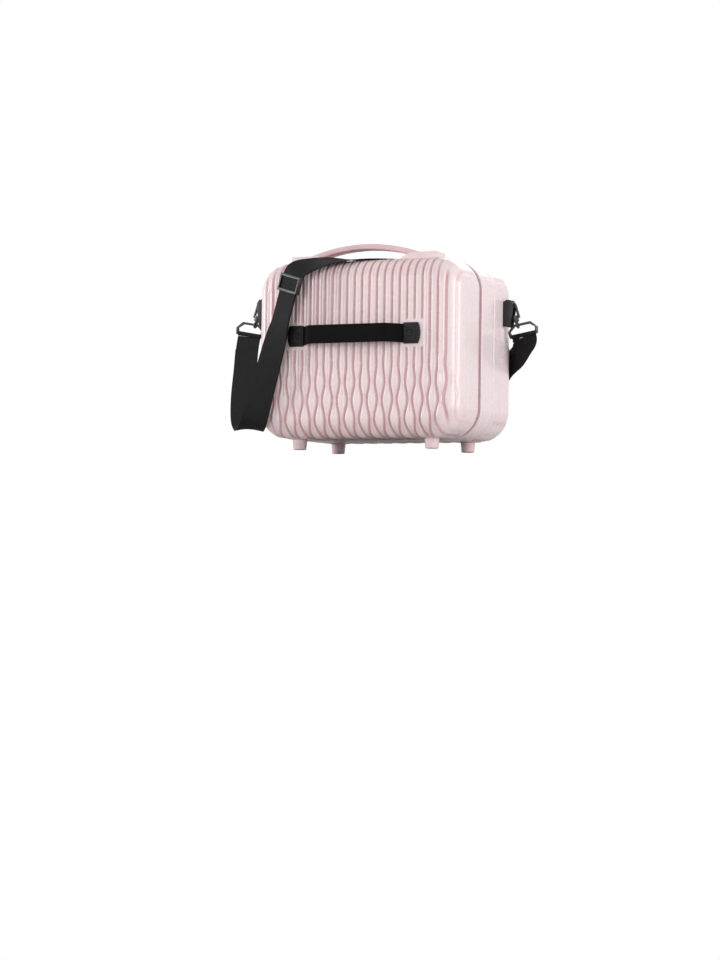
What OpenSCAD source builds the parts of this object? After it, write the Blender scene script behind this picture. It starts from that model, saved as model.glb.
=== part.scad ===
// Hard-shell vanity case: two ribbed shells on a fabric hinge, closed by a zip on three sides,
// with a carrying arch, a trolley band and a shoulder strap on two snap hooks.
// Millimetres. +Z up, origin on the ground under the middle of the case. The back, with the
// trolley band, faces +Y. The left lug stands on the +X side and the right lug on the -X side.

/* [Case] */
// Width of the case along X
case_w = 330; // [290:1:400]
// Height of the shells, without feet or handle
shell_h = 260; // [245:1:320]
// Depth of the back shell, from its face to its rim
back_depth = 76; // [70:1:110]
// Width of the recessed seam between the two rims
seam_w = 10; // [8:0.5:14]
// Width of the smooth collar of the lid, beside the seam
collar_w = 42; // [20:1:60]
// Depth of the ribbed part of the lid
lid_depth = 80; // [70:1:110]
// Corner radius of the outline, seen from the back
corner_r = 45; // [36:1:60]
// Rounding between the two faces and the walls
edge_r = 30; // [20:1:34]
// Wall thickness of the shells below the ribs
wall = 1.6; // [1.2:0.1:3]

/* [Ribs] */
// Distance between two grooves
rib_pitch = 12.16; // [9:0.01:16]
// Depth of the grooves between the ribs
rib_h = 1.8; // [0.6:0.1:2.4]
// Width of a groove at the surface
groove_w = 5.4; // [3:0.1:7]
// Smooth band left beside each rim
rim_band = 5; // [3:0.5:10]
// Depth of the step line between collar and ribbed part
step_h = 0.8; // [0.4:0.1:1.4]

/* [Feet] */
// Height of the feet
foot_h = 15; // [10:0.5:20]
// Radius of a foot at the shell
foot_r = 11; // [8:0.5:14]
// Radius of a foot on the ground
foot_base_r = 9.5; // [7:0.5:11]
// Distance of the feet from the sides of the case
foot_side = 57; // [55:1:85]
// Distance of the foot centres from the nearest face
foot_in = 42; // [41:1:44]

/* [Zip and hinge] */
// Thickness of the zip and hinge tapes
tape_t = 1; // [0.6:0.1:1.4]
// Width of one half of the tape inside its shell
tape_w = 12; // [8:0.5:16]
// Thickness of the teeth
teeth_t = 2.6; // [2:0.1:3]
// Width of one row of teeth
teeth_w = 2.2; // [1.6:0.1:3]
// Free channel between the two rows
channel = 1.4; // [1.2:0.1:1.8]
// Distance from the side to where the zip ends on the underside
zip_end_side = 54; // [53:1:65]
// Place of the two sliders along X when the zip is closed
slider_x = 60; // [50:1:66]
// Length of a slider
slider_l = 11; // [9:0.5:13]
// Width of a slider
slider_w = 8; // [7:0.1:9]
// Length of a pull tab
pull_l = 22; // [16:1:26]

/* [Carrying handle] */
// Distance of the handle's centre line from the back face
handle_in = 42; // [41:0.5:44]
// Width of the handle
handle_w = 22; // [18:1:24]
// Thickness of the arch
handle_t = 8; // [6:0.5:9]
// Height of the arch's centre line over the shell, at the middle
handle_rise = 20.5; // [18:0.5:30]
// Distance from the side to where the arch leaves its pod
handle_side = 78; // [73:1:85]
// Length of a pod
pod_l = 60; // [50:1:64]
// Height of a pod
pod_h = 9.5; // [9:0.5:12]

/* [Trolley band] */
// Height of the elastic band
band_h = 27; // [20:1:30]
// Thickness of the elastic band
band_t = 1.4; // [1:0.1:2]
// Room between the band and the back face
band_gap = 23; // [15:1:30]
// Height of the band's middle over the ground
band_z = 164; // [150:1:175]
// Distance of the rivets from the sides of the case
rivet_side = 74; // [70:1:80]
// Length of an end plate
plate_l = 26; // [24:1:32]
// Height of an end plate
plate_h = 30.5; // [30:0.5:36]
// Thickness of an end plate
plate_t = 3; // [2:0.1:4]
// Radius of the band's rivets
band_rivet_r = 2; // [1.5:0.1:2.5]

/* [Strap and hooks] */
// Width of the webbing
web_w = 38; // [30:1:38]
// Thickness of the webbing
web_t = 1.3; // [1:0.1:1.5]
// Distance of the lugs from the nearest face
lug_in = 42; // [40:1:46]
// Height of the lug pins over the ground
lug_z = 214.9; // [205:0.1:220]
// Radius of the wire of hooks and rings
wire_r = 2; // [1.5:0.1:2.2]
// Lean of the hanging hooks, in degrees
hook_lean = 18; // [15:1:20]
// Upward tilt of the rings' outer ends, in degrees
ring_tilt = 10; // [5:1:12]

/* [Inside] */
// Thickness of the linings
lining_t = 1.2; // [0.8:0.1:2]
// Number of elastic loops for brushes and bottles
loop_count = 7; // [4:1:8]
// Width of one elastic loop
loop_w = 30; // [24:1:32]
// Height of the mesh pocket
pocket_h = 120; // [90:1:150]
// Width of the mesh pocket
pocket_w = 240; // [200:1:240]

/* [Hidden] */
$fn = 64;
eps = 0.01;
seat = 0.05;           // clearance between two pieces fastened face to face
fit = 0.3;             // clearance between two loose pieces
run = 0.08;            // radial clearance of a turning fit
skin = wall + rib_h;   // shell thickness from the crest of a rib
case_d = back_depth + seam_w + collar_w + lid_depth;
y_back = case_d / 2;
y_front = -case_d / 2;
y_rim = y_back - back_depth;
y_seam = y_rim - seam_w / 2;
y_lid_rim = y_rim - seam_w;
y_step = y_lid_rim - collar_w;
z_low = foot_h;
z_mid = foot_h + shell_h / 2;
z_top = foot_h + shell_h;
half_w = case_w / 2;
foot_x = half_w - foot_side;
rivet_x = half_w - rivet_side;
zip_end_x = half_w - zip_end_side;
handle_half = half_w - handle_side;
y_handle = y_back - handle_in;
tape_in = skin + fit;            // depth of the tapes below the crest surface
lining_rim = tape_w + 2;         // distance of a lining's edge from the seam rims
teeth_in = tape_in - (teeth_t - tape_t) / 2;

// ---- shell forms -------------------------------------------------------------------------

// Section of a wall: r outwards, d along the depth, the far corner rounded by e.
module wall_section(r, d, e) {
  square([r - e, d]);
  square([r, d - e]);
  translate([r - e, d - e]) intersection() { circle(e); square(e); }
}

// A solid pan with its open plane at y = 0 and its face at y = d, centred in X and Z.
module pan(w, h, d, r, e) {
  a = w / 2 - r;
  b = h / 2 - r;
  translate([-a, 0, -b]) cube([2 * a, d, 2 * b]);
  for (s = [0, 180]) rotate([0, s, 0]) {
    translate([-a, 0, b]) rotate([90, 0, 90]) linear_extrude(2 * a)
      mirror([1, -1]) wall_section(r, d, e);
    translate([a, 0, -b]) linear_extrude(2 * b) wall_section(r, d, e);
    for (c = [[a, b, 0], [-a, b, 90]])
      translate([c[0], 0, c[1]]) rotate([-90, 0, 0]) rotate([0, 0, -90 - c[2]])
        rotate_extrude(angle = 90) wall_section(r, d, e);
  }
}

// A hollow pan of thickness t.
module tray(w, h, d, r, e, t) {
  difference() {
    pan(w, h, d, r, e);
    translate([0, -1, 0]) pan(w - 2 * t, h - 2 * t, d - t + 1, r - t, e - t);
  }
}

// A prism along Y with a rounded outline, centred in X and Z.
module rounded_prism(w, h, r, d) {
  translate([-w / 2 + r, 0, -h / 2]) cube([w - 2 * r, d, h]);
  translate([-w / 2, 0, -h / 2 + r]) cube([w, d, h - 2 * r]);
  for (x = [-1, 1], z = [-1, 1])
    translate([x * (w / 2 - r), 0, z * (h / 2 - r)]) rotate([-90, 0, 0]) cylinder(d, r = r);
}

// A band that follows the outline of the case, i below the crest surface and t thick.
module outline_band(i, t, y0, y1) {
  translate([0, y0, z_mid]) difference() {
    rounded_prism(case_w - 2 * i, shell_h - 2 * i, corner_r - i, y1 - y0);
    translate([0, -1, 0]) rounded_prism(case_w - 2 * (i + t), shell_h - 2 * (i + t),
      corner_r - i - t, y1 - y0 + 2);
  }
}

// The same band on three sides only, open over the hinge.
module zip_band(i, t, y0, y1) {
  difference() {
    outline_band(i, t, y0, y1);
    translate([-zip_end_x, y0 - 1, z_low - 1]) cube([2 * zip_end_x, y1 - y0 + 2, 20]);
  }
}

lift = 1;                                // how far the cutters stand over the crests
// The two steps of a groove: its width and how deep it goes.
groove_steps = [[groove_w, rib_h * 0.4], [groove_w * 0.45, rib_h]];
groove_n = floor((half_w - corner_r - 4) / rib_pitch);   // grooves on each side that wrap over
groove_ends = 2;                                         // and further ones on the face alone

// How far a groove stands to the side, and at what height over the middle of the shell. The
// ribs are straight at the top; lower down neighbouring grooves swing opposite ways.
sway = [[0, 1], [0, 0.04], [0.06, -0.2], [-0.2, -0.48], [0.25, -0.76], [-0.25, -1]];
function sway_end(z) = z > 0 ? 0 : sway[len(sway) - 1][0];

// Line of a groove on the face, from z = h down to -h. way is 1 or -1.
function groove_line(h, way) = [for (s = sway) [way * s[0] * rib_pitch, s[1] * h]];

// Outline of a strip of width w along a line, down its left side and up its right side.
function strip(line, w) = concat([for (p = line) p - [w / 2, 0]],
  [for (j = [len(line) - 1 : -1 : 0]) line[j] + [w / 2, 0]]);

module face_groove(h, way) for (g = groove_steps)
  translate([0, lift, 0]) rotate([90, 0, 0]) linear_extrude(lift + g[1])
    polygon(strip(groove_line(h, way), g[0]));

// Section of a groove across its run, the crest at y = 0.
module groove_section() for (g = groove_steps)
  translate([-g[0] / 2, -g[1]]) square([g[0], g[1] + lift]);

// All grooves of one shell, running down the face and over both roundings to the rim side.
module grooves(d) {
  flat = shell_h / 2 - edge_r;
  back = d - edge_r;
  for (i = [-groove_n - groove_ends : groove_n + groove_ends]) {
    way = i % 2 == 0 ? 1 : -1;
    translate([i * rib_pitch, d, 0]) face_groove(flat, way);
    if (abs(i) <= groove_n) for (s = [0, 1])
      translate([(i + way * sway_end(1 - 2 * s)) * rib_pitch, 0, 0]) mirror([0, 0, s]) {
        translate([0, back, flat]) rotate([90, 0, 90]) rotate_extrude(angle = 90)
          translate([edge_r, 0]) rotate(-90) groove_section();
        translate([0, rim_band, flat + edge_r]) rotate([90, 0, 0]) mirror([0, 0, 1])
          linear_extrude(back - rim_band) groove_section();
      }
  }
}

// ---- fastener places ---------------------------------------------------------------------

pod_outer = handle_half + 32;        // outer end of a pod
pod_inner = pod_outer - pod_l;       // inner end of a pod
pod_screws = [pod_outer - 8, pod_inner + 20];
screw_r = 1.6;
screw_head_r = 3.2;

module handle_screw_places() {
  for (s = [-1, 1], x = pod_screws) translate([s * x, y_handle, z_top]) children();
}

module foot_places(y) {
  for (s = [-1, 1]) translate([s * foot_x, y, 0]) children();
}

module band_rivet_places() {
  for (s = [-1, 1]) translate([s * rivet_x, y_back, band_z]) rotate([-90, 0, 0]) children();
}

lug_rivet_dz = 13;        // distance of a lug's rivets from its middle
lug_rivet_r = 1.5;
// Places of the two rivets of a lug, axis along +X, seen from the left lug.
module lug_rivet_places() {
  for (s = [-1, 1])
    translate([half_w, y_back - lug_in, lug_mid_z + s * lug_rivet_dz]) rotate([0, 90, 0])
      children();
}

// The right-hand fittings are the left-hand ones turned half a turn about Z.
module other_side() { rotate([0, 0, 180]) children(); }

// ---- back shell --------------------------------------------------------------------------

pad_margin = 4.5;  // smooth border of the pads round fittings

module back_shell() {
  color("pink") difference() {
    translate([0, y_rim, z_mid]) tray(case_w, shell_h, back_depth, corner_r, edge_r, skin);
    difference() {
      translate([0, y_rim, z_mid]) grooves(back_depth);
      for (s = [-1, 1]) {
        translate([s * rivet_x - plate_l / 2 - pad_margin, y_back - 4,
            band_z - plate_h / 2 - pad_margin])
          cube([plate_l + 2 * pad_margin, 8, plate_h + 2 * pad_margin]);
        translate([s * (pod_outer - pod_l / 2) - pod_l / 2 - pad_margin,
            y_handle - handle_w / 2 - 5, z_top - 4])
          cube([pod_l + 2 * pad_margin, handle_w + 10, 8]);
        translate([s * foot_x - foot_r - 2, y_back - foot_in - foot_r - 2, z_low - 4])
          cube([2 * foot_r + 4, 2 * foot_r + 4, 8]);
      }
    }
    handle_screw_places() translate([0, 0, -9]) cylinder(12, r = screw_r + 0.1);
    foot_places(y_back - foot_in) translate([0, 0, z_low - 1]) cylinder(9, r = screw_r + 0.1);
    band_rivet_places() translate([0, 0, -9]) cylinder(12, r = band_rivet_r + 0.1);
    lug_rivet_places() translate([0, 0, -9]) cylinder(12, r = lug_rivet_r + 0.1);
  }
}

module lid_shell() {
  d = collar_w + lid_depth;
  color("pink") difference() {
    translate([0, y_lid_rim, z_mid]) rotate([0, 0, 180])
      tray(case_w, shell_h, d, corner_r, edge_r, skin);
    difference() {
      translate([0, y_step + rim_band, z_mid]) rotate([0, 0, 180])
        grooves(lid_depth + rim_band);
      for (s = [-1, 1])
        translate([s * foot_x - foot_r - 2, y_front + foot_in - foot_r - 2, z_low - 4])
          cube([2 * foot_r + 4, 2 * foot_r + 4, 8]);
    }
    difference() {
      outline_band(-1, 1 + step_h, y_step, y_step + 1);
      outline_band(step_h, 5, y_step - 1, y_step + 2);
    }
    foot_places(y_front + foot_in) translate([0, 0, z_low - 1])
      cylinder(9, r = screw_r + 0.1);
    other_side() lug_rivet_places() translate([0, 0, -9]) cylinder(12, r = lug_rivet_r + 0.1);
  }
}

// Lining of a shell of depth d, with its mouth towards -Y.
module lining(d) {
  i = skin + fit;
  color("lightpink") difference() {
    tray(case_w - 2 * i, shell_h - 2 * i, d - i, corner_r - i, edge_r - i, lining_t);
    translate([-half_w, -1, -shell_h / 2]) cube([case_w, lining_rim + 1, shell_h]);
  }
}

module back_lining() {
  difference() {
    translate([0, y_rim, z_mid]) lining(back_depth);
    color("lightpink") {
      handle_screw_places() translate([0, 0, -14]) cylinder(12, r = screw_head_r + 4);
      foot_places(y_back - foot_in) translate([0, 0, z_low + 2]) cylinder(8, r = 5);
      band_rivet_places() translate([0, 0, -10]) cylinder(8, r = 6);
      lug_rivet_places() translate([0, 0, -10]) cylinder(8, r = 5);
      translate([-pod_outer - 1, y_handle - backing_w / 2 - 1, z_top - skin - 4])
        cube([2 * pod_outer + 2, backing_w + 2, 5]);
    }
  }
}

module lid_lining() {
  difference() {
    translate([0, y_lid_rim, z_mid]) rotate([0, 0, 180]) lining(collar_w + lid_depth);
    color("lightpink") {
      foot_places(y_front + foot_in) translate([0, 0, z_low + 2]) cylinder(8, r = 5);
      other_side() lug_rivet_places() translate([0, 0, -10]) cylinder(8, r = 5);
    }
  }
}

// ---- zip and hinge -----------------------------------------------------------------------

teeth_0 = channel / 2;
teeth_1 = channel / 2 + teeth_w;

module back_zip_tape() color("lightpink")
  zip_band(tape_in, tape_t, y_seam + teeth_1, y_rim + tape_w);
module back_zip_teeth() color("pink")
  zip_band(teeth_in, teeth_t, y_seam + teeth_0, y_seam + teeth_1);
module lid_zip_tape() color("lightpink")
  zip_band(tape_in, tape_t, y_lid_rim - tape_w, y_seam - teeth_1);
module lid_zip_teeth() color("pink")
  zip_band(teeth_in, teeth_t, y_seam - teeth_1, y_seam - teeth_0);

hinge_half = zip_end_x - 2;
module back_hinge_tape() color("lightpink")
  translate([-hinge_half, y_seam + fit / 2, z_low + tape_in])
    cube([2 * hinge_half, y_rim + tape_w - y_seam - fit / 2, tape_t]);
module lid_hinge_tape() color("lightpink")
  translate([-hinge_half, y_lid_rim - tape_w, z_low + tape_in])
    cube([2 * hinge_half, y_seam - fit / 2 - y_lid_rim + tape_w, tape_t]);

// Fabric tabs that close the two ends of the zip, sewn to the back half of the tape.
tab_l = 9;
module zip_end_tabs() color("pink")
  for (s = [-1, 1]) translate([s * (zip_end_x + tab_l / 2) - tab_l / 2, y_seam + fit,
      z_low + teeth_in - fit - 1.2])
    cube([tab_l, y_rim - y_seam - 2 * fit, 1.2]);

z_teeth = z_top - teeth_in;            // outer side of the teeth along the top
wing_t = 1;
z_wing = z_teeth + fit;                // underside of a slider's outer wing
pin_r = 0.5;
z_pull = z_wing + wing_t + 1.1;        // height of the pull's pin
ear_x = slider_l / 2 - 1.4;            // place of the pull's pin on the slider

// A slider with its pull pin towards +X, at the origin of X.
module slider() {
  deep = teeth_t + 2 * fit;
  translate([0, y_seam, 0]) {
    for (z = [z_wing, z_wing - deep - wing_t])
      translate([-slider_l / 2, -slider_w / 2, z]) cube([slider_l, slider_w, wing_t]);
    translate([-slider_l / 2, -(channel / 2 - fit), z_wing - deep - eps])
      cube([2, channel - 2 * fit, deep + 2 * eps]);
    for (s = [-1, 1]) translate([ear_x - 0.9, s * 1.9 - 0.4, z_wing + wing_t - eps])
      cube([1.8, 0.8, 1.7]);
    translate([ear_x, -2, z_pull]) rotate([-90, 0, 0]) cylinder(4, r = pin_r);
  }
}

// A pull that lies flat from its pin towards +X, at the origin of X.
module pull() {
  eye_r = 1;
  pull_t = 1;
  translate([ear_x, y_seam, z_pull]) difference() {
    union() {
      rotate([90, 0, 0]) translate([0, 0, -1.2]) cylinder(2.4, r = eye_r);
      translate([0, -1.2, -eye_r + 0.5]) cube([3, 2.4, pull_t]);
      translate([2.6, -2.4, -eye_r + 0.5]) cube([pull_l - 5, 4.8, pull_t]);
      translate([pull_l - 2.4, 0, -eye_r + 0.5]) cylinder(pull_t, r = 2.4);
    }
    rotate([90, 0, 0]) translate([0, 0, -2]) cylinder(4, r = pin_r + run);
    translate([pull_l - 2.4, 0, -2]) cylinder(4, r = 1);
  }
}

slider_gap = slider_l / 2 + 1;
module zip_slider_a() color("silver") translate([slider_x + slider_gap, 0, 0]) slider();
module zip_pull_a() color("silver") translate([slider_x + slider_gap, 0, 0]) pull();
module turned(x) {
  translate([x, y_seam, 0]) rotate([0, 0, 180]) translate([0, -y_seam, 0]) children();
}
module zip_slider_b() color("silver") turned(slider_x - slider_gap) slider();
module zip_pull_b() color("silver") turned(slider_x - slider_gap) pull();

// ---- feet --------------------------------------------------------------------------------

module feet(y) color("pink") foot_places(y) difference() {
  cylinder(foot_h, r1 = foot_base_r, r2 = foot_r);
  translate([0, 0, 5]) cylinder(foot_h, r = screw_r + 0.1);
}
module foot_screws(y) color("silver") foot_places(y) {
  translate([0, 0, 5.5]) cylinder(z_low + skin - 5.5 + eps, r = screw_r);
  translate([0, 0, z_low + skin]) cylinder(1.8, r = screw_head_r);
}
module back_feet() feet(y_back - foot_in);
module back_foot_screws() foot_screws(y_back - foot_in);
module lid_feet() feet(y_front + foot_in);
module lid_foot_screws() foot_screws(y_front + foot_in);

// ---- carrying handle ---------------------------------------------------------------------

arch_end = 6;                                     // height of the arch's line at the pods
arch_sag = handle_rise - arch_end;
arch_r = (handle_half * handle_half + arch_sag * arch_sag) / (2 * arch_sag);
arch_angle = asin(handle_half / arch_r);
tongue_l = 21;
tongue_t = 4;
tongue_z = 3;                                     // underside of the tongue over the shell

module arch(t, w) {
  translate([0, y_handle, z_top + handle_rise - arch_r]) rotate([90, 0, 0])
    rotate([0, 0, 90 - arch_angle]) rotate_extrude(angle = 2 * arch_angle, $fn = 128)
      translate([arch_r - t / 2, -w / 2]) square([t, w]);
}

module handle_grip() color("pink") difference() {
  union() {
    arch(handle_t, handle_w);
    for (s = [-1, 1]) translate([s * (handle_half + tongue_l / 2 - 3) - tongue_l / 2,
        y_handle - handle_w / 2 + 3, z_top + tongue_z])
      cube([tongue_l, handle_w - 6, tongue_t]);
  }
  for (s = [-1, 1]) translate([s * handle_half - 20, y_handle - 20, z_top - 5])
    cube([40, 40, 5 + tongue_z]);
}

// Side view of a pod: sloped towards the middle, upright at its outer end.
module pod_outline() polygon([[0, 0], [pod_l, 0], [pod_l, pod_h - 1.5], [pod_l - 1.5, pod_h],
  [16, pod_h], [0, 1.2]]);

module pod(side) color("pink") difference() {
  translate([side * (pod_outer - pod_l), y_handle + handle_w / 2 + 2, z_top])
    mirror([side < 0 ? 1 : 0, 0, 0]) rotate([90, 0, 0])
      linear_extrude(handle_w + 4) pod_outline();
  arch_room();
  for (s = [-1, 1]) translate([s * (handle_half + tongue_l / 2 - 3) - tongue_l / 2 - fit,
      y_handle - handle_w / 2 + 3 - fit, z_top + tongue_z - fit])
    cube([tongue_l + 2 * fit, handle_w - 6 + 2 * fit, tongue_t + 2 * fit]);
  handle_screw_places() translate([0, 0, -1]) cylinder(pod_h - 2, r = screw_r + 0.1);
}

// Room for the arch above the tongue, open upwards.
module arch_room() {
  arch(handle_t + 2 * fit, handle_w + 2 * fit);
  for (s = [-1, 1]) translate([s * (handle_half - 20) - 20, y_handle - handle_w / 2 - fit,
      z_top + arch_end])
    cube([40, handle_w + 2 * fit, 20]);
}

module handle_pod_left() pod(1);
module handle_pod_right() pod(-1);

backing_t = 1.5;
backing_w = 16;
module handle_backing_plates() color("silver") for (s = [-1, 1]) difference() {
  translate([s * (pod_outer - pod_l / 2) - pod_l / 2 + 4, y_handle - backing_w / 2,
      z_top - skin - backing_t - seat])
    cube([pod_l - 8, backing_w, backing_t]);
  handle_screw_places() translate([0, 0, -9]) cylinder(12, r = screw_r + 0.1);
}
module handle_screws() color("silver") handle_screw_places() {
  translate([0, 0, -skin - backing_t - 2.1]) cylinder(2, r = screw_head_r);
  translate([0, 0, -skin - backing_t - 0.2]) cylinder(skin + backing_t + 2.7, r = screw_r);
}

// ---- trolley band ------------------------------------------------------------------------

plate_in_x = rivet_x - 9.5;               // inner end of an end plate
plate_out_x = plate_in_x + plate_l;       // outer end of an end plate
band_end = rivet_x + 6;                   // end of the band below its plate
band_foot = plate_in_x - 1;               // where the band leaves the face
band_turn = rivet_x - 29;                 // where the band has its full distance

// Plan of the band: flat under the plates, drawn out over its middle stretch.
module band_line() {
  inner = [[band_end, 0], [band_foot, 0], [band_turn, band_gap]];
  outer = [[band_turn + 0.6, band_gap + band_t], [band_foot + 0.6, band_t],
    [band_end, band_t]];
  half = concat(inner, outer);
  n = len(half) - 1;
  polygon(concat(inner, [for (i = [2 : -1 : 0]) [-half[i][0], half[i][1]]],
    [for (i = [n : -1 : 3]) [-half[i][0], half[i][1]]], outer));
}

module trolley_band() color("black") difference() {
  translate([0, y_back + seat, band_z - band_h / 2]) linear_extrude(band_h) band_line();
  band_rivet_places() translate([0, 0, -5]) cylinder(12, r = band_rivet_r + 0.1);
}

// End plate with a slightly bowed outer end, a pocket for the band and a stepped border.
plate_bow_r = 34;                         // radius of the plate's outer end
module band_plate(side) color("black") difference() {
  r = plate_h / 2;
  translate([0, y_back, band_z]) mirror([side < 0 ? 1 : 0, 0, 0]) difference() {
    union() {
      intersection() {
        translate([plate_in_x, seat, -r]) cube([plate_l, plate_t, plate_h]);
        translate([plate_out_x - plate_bow_r, 0, 0]) rotate([-90, 0, 0])
          cylinder(plate_t + 1, r = plate_bow_r);
      }
      translate([plate_in_x + 2, seat, 3 - r]) cube([plate_l - 9, plate_t + 1, plate_h - 6]);
    }
    translate([plate_in_x - 1, -1, -band_h / 2 - fit])
      cube([band_end + 1.4 - plate_in_x, 1.2 + band_t + fit, band_h + 2 * fit]);
  }
  band_rivet_places() translate([0, 0, -2]) cylinder(12, r = band_rivet_r + 0.1);
  band_rivet_places() translate([0, 0, plate_t - 0.4]) cylinder(4, r1 = 3.6, r2 = 7.6);
}
module band_plate_left() band_plate(1);
module band_plate_right() band_plate(-1);

washer_t = 1;
module band_rivets() color("dimgray") band_rivet_places() {
  translate([0, 0, -skin - washer_t - 1.2]) cylinder(1.2, r = 3.4);
  translate([0, 0, -skin - washer_t - 1.2]) cylinder(skin + washer_t + 1.2 + plate_t,
    r = band_rivet_r);
  translate([0, 0, plate_t - 0.3]) cylinder(1.1, r1 = 3.2, r2 = 4.4);
}
module band_washers() color("silver") band_rivet_places()
  translate([0, 0, -skin - washer_t]) difference() {
    cylinder(washer_t - 0.05, r = 5);
    translate([0, 0, -1]) cylinder(3, r = band_rivet_r + 0.1);
  }

// ---- lugs, hooks and rings ---------------------------------------------------------------

lug_y = y_back - lug_in;
lug_mid_z = lug_z - 11;
cheek_gap = 9.4;
cheek_t = 2;
lug_pin_r = 2;
arch_line_r = wire_r + lug_pin_r + 1.75;   // centre line of the hook's bow
leg_l = 14;                                // straight legs of the hook
base_h = 8;                                // height of the hook's base
bow_z = base_h + leg_l;                    // centre of the bow over the base
eye_drop = 5.8;                            // swivel eye below the base
pin_out = 12;                              // lug pin from the shell

// Puts the hook's own frame in place: the base at the origin, the bow towards +Z.
bow_off = 1.45;
module hook_frame() {
  translate([half_w + pin_out, lug_y, lug_z]) rotate([0, -hook_lean, 0])
    translate([0, 0, -bow_z - bow_off]) children();
}

module lug() color("black") {
  b = half_w;
  translate([b, lug_y, 0]) {
    difference() {
      translate([0.05, -cheek_gap / 2 - cheek_t, lug_mid_z - 18])
        cube([3, cheek_gap + 2 * cheek_t, 36]);
      translate([-b, 0, 0]) translate([0, -lug_y, 0]) lug_rivet_places()
        translate([0, 0, -2]) cylinder(8, r = lug_rivet_r + 0.1);
    }
    for (s = [-1, 1]) translate([0, s * (cheek_gap + cheek_t) / 2 + cheek_t / 2, 0])
      rotate([90, 0, 0]) linear_extrude(cheek_t)
        polygon([[0.05, lug_mid_z - 18], [0.05, lug_mid_z + 17], [6, lug_mid_z + 21],
          [pin_out, lug_mid_z + 20], [pin_out + 4, lug_mid_z + 15],
          [pin_out + 3.6, lug_mid_z + 6], [pin_out, lug_mid_z - 18], [8, lug_mid_z - 20]]);
    translate([pin_out, -cheek_gap / 2 - cheek_t, lug_z]) rotate([-90, 0, 0])
      cylinder(cheek_gap + 2 * cheek_t, r = lug_pin_r);
  }
}
module lug_rivets() color("silver") lug_rivet_places() {
  translate([0, 0, -skin - 1.2]) cylinder(1.2, r = 3);
  translate([0, 0, -skin - 0.5]) cylinder(skin + 4.2, r = lug_rivet_r);
  translate([0, 0, 3.1]) cylinder(0.9, r = 2.6);
}

stud_r = 1.6;
gate_y = 1.7;                 // half thickness of the gate
gate_pin_r = 0.8;
foot_half = 3.2;              // half width of the gate's fork

module hook() color("black") hook_frame() {
  difference() {
    union() {
      cylinder(base_h, r = 4.6);
      translate([-arch_line_r, -foot_half, base_h - 4])
        cube([2 * arch_line_r, 2 * foot_half, 4]);
      translate([-arch_line_r, 0, base_h - 2]) rotate([90, 0, 0])
        translate([0, 0, -foot_half]) cylinder(2 * foot_half, r = 2.4);
    }
    translate([0, 0, -1]) cylinder(base_h + 2, r = stud_r + run);
    translate([0, 0, base_h - 1.6]) cylinder(3, r = 2.8);
    translate([-arch_line_r - 3, -gate_y - 0.2, base_h - 2 - 0.9 - 1.7])
      cube([5.9, 2 * gate_y + 0.4, 8]);
  }
  translate([arch_line_r, 0, base_h - 4]) cylinder(leg_l + 4, r = wire_r);
  translate([0, 0, bow_z]) rotate([90, 0, 0]) rotate_extrude(angle = 180)
    translate([arch_line_r, 0]) circle(wire_r, $fn = 32);
  translate([-arch_line_r, 0, bow_z - 4]) cylinder(4, r = wire_r);
  translate([-arch_line_r, -foot_half, base_h - 2]) rotate([-90, 0, 0])
    cylinder(2 * foot_half, r = gate_pin_r);
}

gate_l = bow_z - 4 - fit - base_h + 2;
module gate() color("dimgray") hook_frame()
  translate([-arch_line_r, 0, base_h - 2]) difference() {
    union() {
      rotate([90, 0, 0]) translate([0, 0, -gate_y]) cylinder(2 * gate_y, r = 1.7);
      cylinder(gate_l, r = gate_y);
    }
    rotate([90, 0, 0]) translate([0, 0, -5]) cylinder(10, r = gate_pin_r + run);
  }

// The swivel's stud turns in the hook's base, and its eye goes round the ring.
eye_r = 3.8;
eye_wire = 1.5;
module swivel() color("black") hook_frame() {
  translate([0, 0, base_h - 1.5]) cylinder(1.3, r = 2.6);
  translate([0, 0, -1.4]) cylinder(base_h, r = stud_r);
  translate([0, 0, -1.6]) cylinder(1.3, r = 3.2);
  translate([0, 0, -eye_drop]) rotate([0, 90, 0]) rotate_extrude()
    translate([eye_r, 0]) circle(eye_wire, $fn = 32);
}

ring_wire = 1.75;
ring_off = 7.5;               // the ring's middle stands outwards of its swivel
ring_top = 8;                 // top bar above the ring's middle
bar_drop = 8;                 // webbing bar below the ring's middle
ring_half = 22;               // half width of the ring at its middle
top_half = 13;                // half length of its top bar
bar_half = web_w / 2 + 1.5;   // half length of its webbing bar

// Place of the swivel eye's middle.
eye_x = half_w + pin_out + sin(hook_lean) * (bow_z + bow_off + eye_drop);
eye_z = lug_z - cos(hook_lean) * (bow_z + bow_off + eye_drop);

module ring_frame() {
  translate([eye_x, lug_y, eye_z]) rotate([0, -ring_tilt, 0])
    translate([ring_off, 0, -ring_top]) children();
}
// Outline of the ring, grown by g on all sides.
module ring_outline(g) polygon([[-top_half - g / 2, ring_top + g],
  [top_half + g / 2, ring_top + g], [ring_half + g, 0], [bar_half + g, -bar_drop - g],
  [-bar_half - g, -bar_drop - g], [-ring_half - g, 0]]);

// A flat six-sided ring whose lowest side is a round bar for the webbing.
module ring() color("black") ring_frame() {
  rotate([90, 0, 0]) translate([0, 0, -ring_wire]) linear_extrude(2 * ring_wire)
    difference() {
      ring_outline(ring_wire);
      ring_outline(-ring_wire);
      translate([-web_w / 2 - fit, -bar_drop - 3]) square([web_w + 2 * fit, 6]);
    }
  translate([-bar_half, 0, -bar_drop]) rotate([0, 90, 0]) cylinder(2 * bar_half, r = ring_wire);
}

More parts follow.
